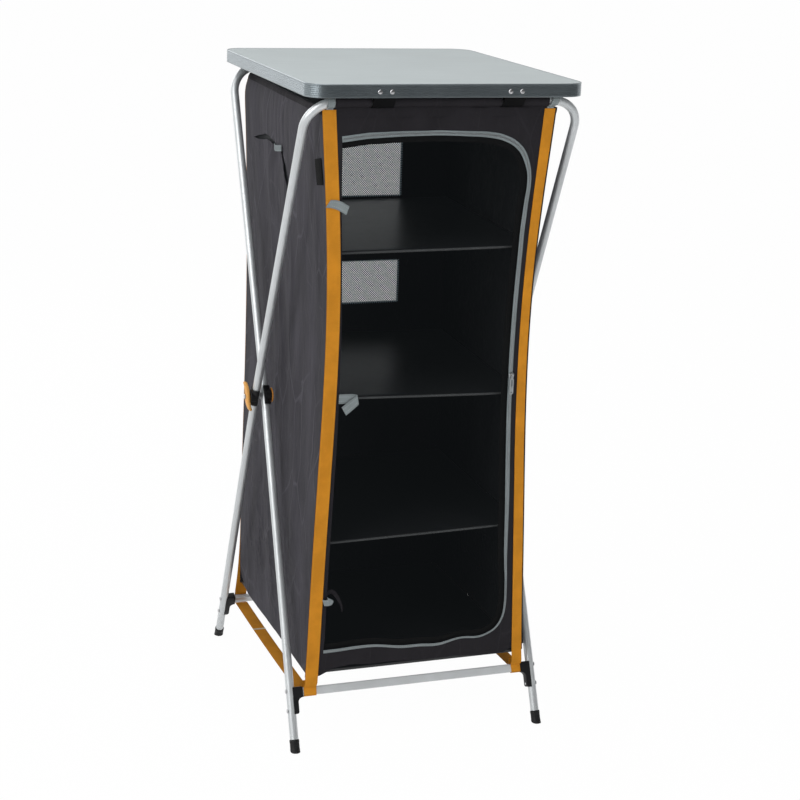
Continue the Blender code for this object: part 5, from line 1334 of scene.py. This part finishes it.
def make_front_strap(side, hand, path):
    """Make a front strap: where its face is narrower than the webbing, its edge turns back a little."""
    fold, columns = 0.0014, 15
    points = np.zeros((len(path), columns, 3))
    for row, (y, z) in enumerate(path):
        inner, outer = (float(edge) for edge in strap_edges(side, z))
        across = np.linspace(0, min(STRAP_WIDTH, outer - inner + 0.0012), columns)
        over = np.maximum(0, across - (outer - inner))
        angle = np.minimum(over / fold, pi / 2)
        x = inner + np.minimum(across, outer - inner) + fold * np.sin(angle)
        back = fold * (1 - np.cos(angle))
        points[row] = stacked(side * x, y + back, z)
    if side > 0:
        points = points[:, ::-1]
    sewn(shell("front_webbing" + hand, points, WEBBING, ORANGE_WEB), "orange_webbing", "front_strap" + hand)


def make_straps():
    lift = CLOTH / 2 + GAP + WEBBING / 2
    levels = np.linspace(STRAP_TOP_Z + 0.0030, BODY_FOOT_Z + WEBBING, 90)
    seam = 0.0007
    for side, hand, seam_z in ((-1, "_left", 0.530), (1, "_right", 0.525)):
        path = [(float(front_y(z)) - lift - seam / (1 + np.exp((z - seam_z) / 0.0012)), z) for z in levels]
        make_front_strap(side, hand, path + strap_tail(FRAME_B, -1, front_y, lift + seam))
        path = [(float(rear_y(z)) + lift, z) for z in levels] + strap_tail(FRAME_A, 1, rear_y, lift)
        made = band("rear_webbing" + hand, path, STRAP_WIDTH, lambda z, s=side: s * rear_strap_x(z),
                    ORANGE_WEB, 1)
        sewn(made, "orange_webbing", "rear_strap" + hand)
        make_bottom_strap("bottom_strap" + hand, side)
        top_x = sum(float(edge) for edge in strap_edges(side, STRAP_TOP_Z)) / 2
        make_loop("front_loop" + hand, FRAME_A, side * top_x, -1, front_y)
        make_loop("rear_loop" + hand, FRAME_B, side * (REAR_HALF - 0.0245), 1, rear_y)


def make_bottom_strap(node, side):
    """Make a strap from bar to bar, and the cream stitching that joins it."""
    ends = []
    for geometry, end in ((FRAME_B, 1), (FRAME_A, -1)):
        bar = geometry.at(0, geometry.t_at_height(BAR_Z))
        stop = BAR_DEEP / 2 + GAP + WEBBING / 2 * abs(geometry.down.y)
        ends.append((bar.y + end * stop / abs(geometry.normal.y), bar.z if end > 0 else bar.z - BAR_HIGH / 2))
    first, last = ends
    path = [(mixed(first[0], last[0], s), mixed(first[1], last[1], s) - 0.0028 * sin(pi * s))
            for s in np.linspace(0, 1, 60)]
    (y, z), (far_y, far_z) = path[40:42]
    spots = [(mixed(y, far_y, s), mixed(z, far_z, s) + WEBBING / 2 + 0.0003) for s in (0, 0.35, 0.7)]
    middle = side * BOTTOM_STRAP_X
    sewn(band(node + "_webbing", path, STRAP_WIDTH, lambda z: middle, ORANGE_WEB, 1), "orange_webbing", node)
    sewn(band(node + "_joint", spots, STRAP_WIDTH, lambda z: middle, THREAD, 1, 0.0005), "grey_webbing")


def make_loop(node, geometry, x, end, face_y):
    """Make a loop from a strap's top over a top tube, where the tube may already bend down."""
    radius = TUBE_R + 0.0020 + WEBBING / 2
    lift = CLOTH / 2 + 2 * GAP + WEBBING * 1.5
    bent = max(0.0, abs(x) - (geometry.leg_x(BEND_R) - BEND_R))
    drop = BEND_R - (BEND_R * BEND_R - bent * bent) ** 0.5
    tube_y, tube_z = geometry.at(0, drop).yz
    foot = STRAP_TOP_Z + (0.0035 if end < 0 else -0.0130)
    path = [(float(face_y(z)) + end * lift, z) for z in np.linspace(foot, foot + 0.0040, 4)]
    for step in range(29):
        angle = mixed(-radians(40), pi, step / 28)
        path.append((tube_y + end * radius * cos(angle), tube_z + radius * sin(angle)))
    path.append((tube_y - end * TUBE_R, BODY_TOP_Z + 2 * GAP))
    lean = 0.0080 if end < 0 < x else 0.0
    made = band(node + "_webbing", path, LOOP_WIDTH,
                lambda z: x + lean * min(1, max(0, (z - foot) / 0.022)), GREY_WEB, end)
    sewn(made, "grey_webbing", node)


def make_sleeve(node, tube_y, end, face_y):
    """Make the hem that holds the body to a top tube, notched where the clips grip the tube."""
    middle = TUBE_R + GAP + SLEEVE_CLOTH / 2
    near = float(face_y(BODY_TOP_Z)) - tube_y + end * (CLOTH / 2 + GAP + SLEEVE_CLOTH / 2)
    hem = BODY_TOP_Z - SLEEVE_TAIL
    low = (tube_y + near + float(face_y(hem)) - float(face_y(BODY_TOP_Z)), hem)
    angle = asin(max(-1, min(1, near / middle)))
    first = -pi / 2 + angle
    turn = end * (2 * pi - 0.12)
    ring = [(tube_y + middle * cos(first + s * turn), TOP_TUBE_Z + middle * sin(first + s * turn))
            for s in np.linspace(0, 1, 44)]
    path = [low, (mixed(low[0], ring[0][0], 0.5), mixed(low[1], ring[0][1], 0.5))] + ring
    xs = np.linspace(*SLEEVE_ENDS[0 if end < 0 else 1], 90)
    if end > 0:
        xs = xs[::-1]
    y, z = (np.array([p[axis] for p in path])[:, None] for axis in (0, 1))
    points = stacked(xs[None, :], y, z)
    if end < 0:
        points[:2, :, 0] = np.clip(points[:2, :, 0], -0.2025, 0.1865)
    made = shell(node + "_cloth", points, SLEEVE_CLOTH, FRONT_SHADED_CLOTH)
    notch_z = TOP_TUBE_Z - TUBE_R - GAP - CLIP_WALL - 0.001
    cut(made, [block(CLIP_WIDTH / 2 + 0.0006, notch_z, TOP_TUBE_Z + 0.03,
                     basis(Vector((x, tube_y, 0)), ACROSS, UP), 0.02) for x in (-CLIP_X, CLIP_X)])
    sewn(made, "front_fabric", node)


# Zip, rolled door and small pieces

def make_zip():
    """Make the zip's tape and its two rows of closed teeth along the opening's edge."""
    half = ZIP_LINE[:, 2]
    shares = np.array([0.0, 0.12, 0.38, 0.5, 0.62, 0.88, 1.0])[None, :]
    relief = np.array([0.0, 0.0003, 0.0, 0.0001, 0.0, 0.0003, 0.0])[None, :]
    outer, inner = zip_path(-half), zip_path(half)
    x, z = (mixed(outer[:, axis, None], inner[:, axis, None], shares) for axis in (0, 1))
    base = CLOTH / 2 + GAP + 0.0005
    lift = front_lift(x, z) + base + relief
    sewn(shell("zip_tape_cloth", on_front(x, z, lift)[:, ::-1], 0.0009, TAPE_WEB), "grey_webbing", "zip_tape")
    verts, faces = [], []
    run = np.concatenate([[0], np.cumsum(np.hypot(*np.diff(ZIP_LINE[:, :2], axis=0).T))])
    for here in np.arange(TOOTH_PITCH / 2, run[-1] - TOOTH_PITCH, TOOTH_PITCH):
        spot, ahead = (np.array([np.interp(place, run, ZIP_LINE[:, axis]) for axis in (0, 1)])
                       for place in (here, here + 0.001))
        ahead = (ahead - spot) / np.linalg.norm(ahead - spot)
        side = np.array([-ahead[1], ahead[0]])
        wide = float(np.interp(here, run, half)) * 0.34
        stand = float(front_lift(spot[0], spot[1])) + base
        a = len(verts)
        for height, shrink in ((0.0004, 1.0), (0.0012, 0.72)):
            for along_it, aside in ((-1, -1), (1, -1), (1, 1), (-1, 1)):
                place = (spot + ahead * along_it * TOOTH_HALF_LENGTH * shrink
                         + side * aside * wide * shrink)
                verts.append(on_front(place[0], place[1], stand + height))
        faces += [(a, a + 3, a + 2, a + 1), (a + 4, a + 5, a + 6, a + 7)]
        faces += [(a + i, a + (i + 1) % 4, a + 4 + (i + 1) % 4, a + 4 + i) for i in range(4)]
    sewn(build("zip_teeth", verts, faces, ZINC, smooth=False), "zip_metal")


def make_slider():
    """Make the zip's slider with its bridge, and the slotted pull that hangs on it."""
    matrix = FRONT_PLANE.copy()
    matrix.translation = EYE_SPOT - matrix.to_3x3() @ Vector((0, 0, SLIDER_THICK / 2 + EYE_LIFT))
    half, tall = SLIDER_WIDTH / 2, SLIDER_LENGTH / 2
    shape = [(half * x, tall * y) for x, y in
             ((-0.55, -1.0), (0.55, -1.0), (0.85, -0.3), (1.0, 0.4), (0.8, 0.9), (0.4, 1.0), (0, 0.8),
              (-0.4, 1.0), (-0.8, 0.9), (-1.0, 0.4), (-0.85, -0.3))]
    slider = prism(shape, matrix, SLIDER_THICK / 2, "zip_slider_body", ZINC)
    rounded_edges(slider, 0.0011, 3, 20)
    path = [(0, 0.75 * tall * cos(a), SLIDER_THICK / 2 - 0.0008 + (EYE_LIFT + PULL_EYE_R + 0.0004) * sin(a))
            for a in np.linspace(0, pi, 15)]
    bridge = tube("zip_slider_bridge", [matrix @ Vector(spot) for spot in path], PULL_EYE_R - GAP, ZINC, 12)
    half, eye = PULL_WIDTH / 2, EYE_LIFT * 0.9
    outline = [(-half * 0.5, eye), (-half * 0.6, -eye), (-half, -eye * 2.4)]
    outline += arc((0, half - PULL_LENGTH), half, pi, 2 * pi, 12)
    outline += [(half, -eye * 2.4), (half * 0.6, -eye), (half * 0.5, eye)]
    upright = basis(EYE_SPOT, ACROSS, UP)
    pull = prism(outline, upright, PULL_THICK / 2, "zip_pull_tab", ZINC)
    slots = ((half * 0.35, -PULL_LENGTH * 0.55, -eye * 2.4, half * 0.3),
             (half * 0.3, -PULL_EYE_R * 1.3, PULL_EYE_R * 1.3, half * 0.2))
    cut(pull, [hole(half * 0.45, upright, PULL_THICK, 20, (0, half - PULL_LENGTH))]
        + [prism(rounded(-wide, wide, low, high, corner, 4), upright, PULL_THICK)
           for wide, low, high, corner in slots])
    rounded_edges(pull, 0.0003)
    carried(slider, "zip_metal", "zip_slider", soft=True)
    carried(pull, "zip_metal", "zip_pull", soft=True)
    carried(bridge, "zip_metal", body="slider", soft=True)


def make_rolled_door():
    """Make the open door, rolled up flat and tucked behind the left edge of the opening."""
    behind = CLOTH / 2 + 2 * GAP + 0.0005 + ROLL_HALF_DEPTH
    beside = CLOTH + 3 * GAP + 0.0005 + ROLL_HALF_WIDTH
    u, v = grid(84, 120)
    turn = u * ROLL_TURNS
    shrink = turn * ROLL_PITCH
    angle = 2 * pi * turn
    z = mixed(ZIP_FOOT_Z, ZIP_TOP_Z, v)
    pinch = sum(0.0012 * np.exp(-((z - level_at(share)) / 0.018) ** 2) for share in TIE_SHARES)
    lump = 0.0006 * np.sin(z * 43 + angle) - pinch
    x = (ROLL_HALF_WIDTH - shrink + lump) * np.cos(angle) - front_half(-1, z) + beside
    y = front_y(z) + behind + (ROLL_HALF_DEPTH - shrink + lump) * np.sin(angle)
    made = shell("rolled_door_cloth", stacked(x, y, z), CLOTH / 2, FRONT_SHADED_CLOTH)
    sewn(made, "front_fabric", "rolled_door")


def make_vent_tab():
    """Make the grey tab by which the side's vent is opened."""
    path = curved([(0.0310, 1.1030), (0.0180, 1.1020), (0.0040, 1.1035), (-0.0100, 1.1055),
                   (-0.0215, 1.1070)], 6)
    across = np.linspace(0.5, -0.5, 5)[None, :] * 0.0118
    y, z = path[:, :1] + 0 * across, path[:, 1:] + across
    lifts = (0.0016, 0.0040, 0.0048, 0.0040, 0.0030)
    lift = np.interp(np.linspace(0, 1, len(path)), np.linspace(0, 1, len(lifts)), lifts)[:, None]
    out = side_half(-1, y, z) + 0.0040 + lift
    sewn(shell("vent_tab_web", stacked(-out, y, z), WEBBING, TIE_WEB), "grey_webbing", "vent_tab")


def make_side_tag():
    """Make the plain black tag sewn in beside the left front strap."""
    across, up = grid(12, 12)
    y = mixed(mixed(-0.2280, -0.2650, across), mixed(-0.2225, -0.2600, across), up)
    z = mixed(mixed(1.0733, 1.0800, across), mixed(1.1188, 1.1262, across), up)
    out = side_lie(-1, y, z) + 0.0022 + 0.0008 * np.sin(across * pi)
    sewn(shell("side_tag_web", stacked(-out, y, z), WEBBING / 2, BLACK_TAG), "black_fabric", "side_tag")


def ribbon(name, spots, width):
    """Make a tie on the front from (x, z, lift, lean in degrees of its cross line) spots."""
    path = curved(spots, 10)
    across = np.linspace(0.5, -0.5, 6)[None, :] * width
    lean = np.radians(path[:, 3:])
    x = path[:, :1] - np.sin(lean) * across
    z = path[:, 1:2] + np.cos(lean) * across
    base = CLOTH / 2 + 2 * GAP + WEBBING * 1.5
    made = shell(name + "_web", on_front(x, z, base + path[:, 2:3] + 0 * x), WEBBING, TIE_WEB)
    sewn(made, "grey_webbing", name)


def make_ties():
    """Make the three ties of the rolled door."""
    ribbon("door_tie_upper", [(-0.2122, 1.0480, 0.0006, -34), (-0.2030, 1.0478, 0.0016, -32),
                              (-0.1930, 1.0450, 0.0018, -28), (-0.1840, 1.0400, 0.0014, -24),
                              (-0.1758, 1.0351, 0.0008, -18)], 0.0162)
    ribbon("door_tie_middle", [(-0.1775, 0.6868, 0.0002, 0), (-0.1650, 0.6868, 0.0008, 0),
                               (-0.1500, 0.6862, 0.0016, 2), (-0.1432, 0.6856, 0.0030, 8),
                               (-0.1440, 0.6845, 0.0052, 14), (-0.1540, 0.6770, 0.0064, 26),
                               (-0.1690, 0.6648, 0.0062, 30)], 0.0180)
    ribbon("door_tie_lower", [(-0.1915, 0.2850, 0.0006, 18), (-0.1860, 0.2852, 0.0030, 26),
                              (-0.1812, 0.2868, 0.0046, 36), (-0.1784, 0.2900, 0.0034, 50),
                              (-0.1790, 0.2925, 0.0018, 62)], 0.0135)


def make_corner_pieces():
    """Make the dark tape behind the door's lower tie, and the grey loop in the right lower corner."""
    path = curved([(-0.1850, 0.2960, 0.0040), (-0.1779, 0.2993, 0.0042), (-0.1671, 0.3036, 0.0040),
                   (-0.1580, 0.2949, 0.0036), (-0.1505, 0.2820, 0.0028), (-0.1458, 0.2695, 0.0018),
                   (-0.1446, 0.2590, 0.0008)], 8)
    ahead = np.gradient(path[:, :2], axis=0)
    ahead /= np.linalg.norm(ahead, axis=1, keepdims=True)
    across = np.linspace(-1, 1, 5)[None, :] * path[:, 2:3]
    x = path[:, :1] - ahead[:, 1:] * across - 0.004
    z = path[:, 1:2] + ahead[:, :1] * across - 0.004
    sewn(shell("door_corner_tape", on_front(x, z, -0.012)[:, ::-1], 0.0010, FRONT_SHADED_CLOTH), "front_fabric")
    x = np.array([[0.1910] * 2, [0.2000] * 2, [0.2085] * 2])
    z = np.array([[0.1430, 0.1740], [0.1470, 0.1750], [0.1530, 0.1760]])
    made = shell("corner_loop", on_front(x, z, -CLOTH / 2 - 0.0012)[:, ::-1], 0.0009, GREY_WEB)
    sewn(made, "grey_webbing")


def finish_nodes():
    """Give the CAD nodes of the hubs, which stay, their better materials."""
    kept = {"hub_outer_saddle": BLACK, "hub_inner_saddle": BLACK, "hub_pin": STEEL, "hub_ring": ORANGE_RING}
    for node, made in frame["nodes"].items():
        surface = kept.get(node.rsplit("_", 1)[0])
        if surface:
            made.data.materials.clear()
            made.data.materials.append(surface)


make_camera()
make_studio()
make_tabletop()
make_frame("a", FRAME_A, "rear")
make_frame("b", FRAME_B, "front")
make_wing("lock_wing_left", -1)
make_wing("lock_wing_right", 1)
make_side("left_panel", -1)
make_vent()
make_side("right_panel", 1)
make_front()
make_back()
make_levels()
make_straps()
make_sleeve("front_sleeve", FRONT_TUBE_Y, -1, front_y)
make_sleeve("rear_sleeve", REAR_TUBE_Y, 1, rear_y)
make_zip()
make_slider()
make_rolled_door()
make_ties()
make_corner_pieces()
make_vent_tab()
make_side_tag()
finish_nodes()

for piece in FABRIC:
    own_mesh(piece)
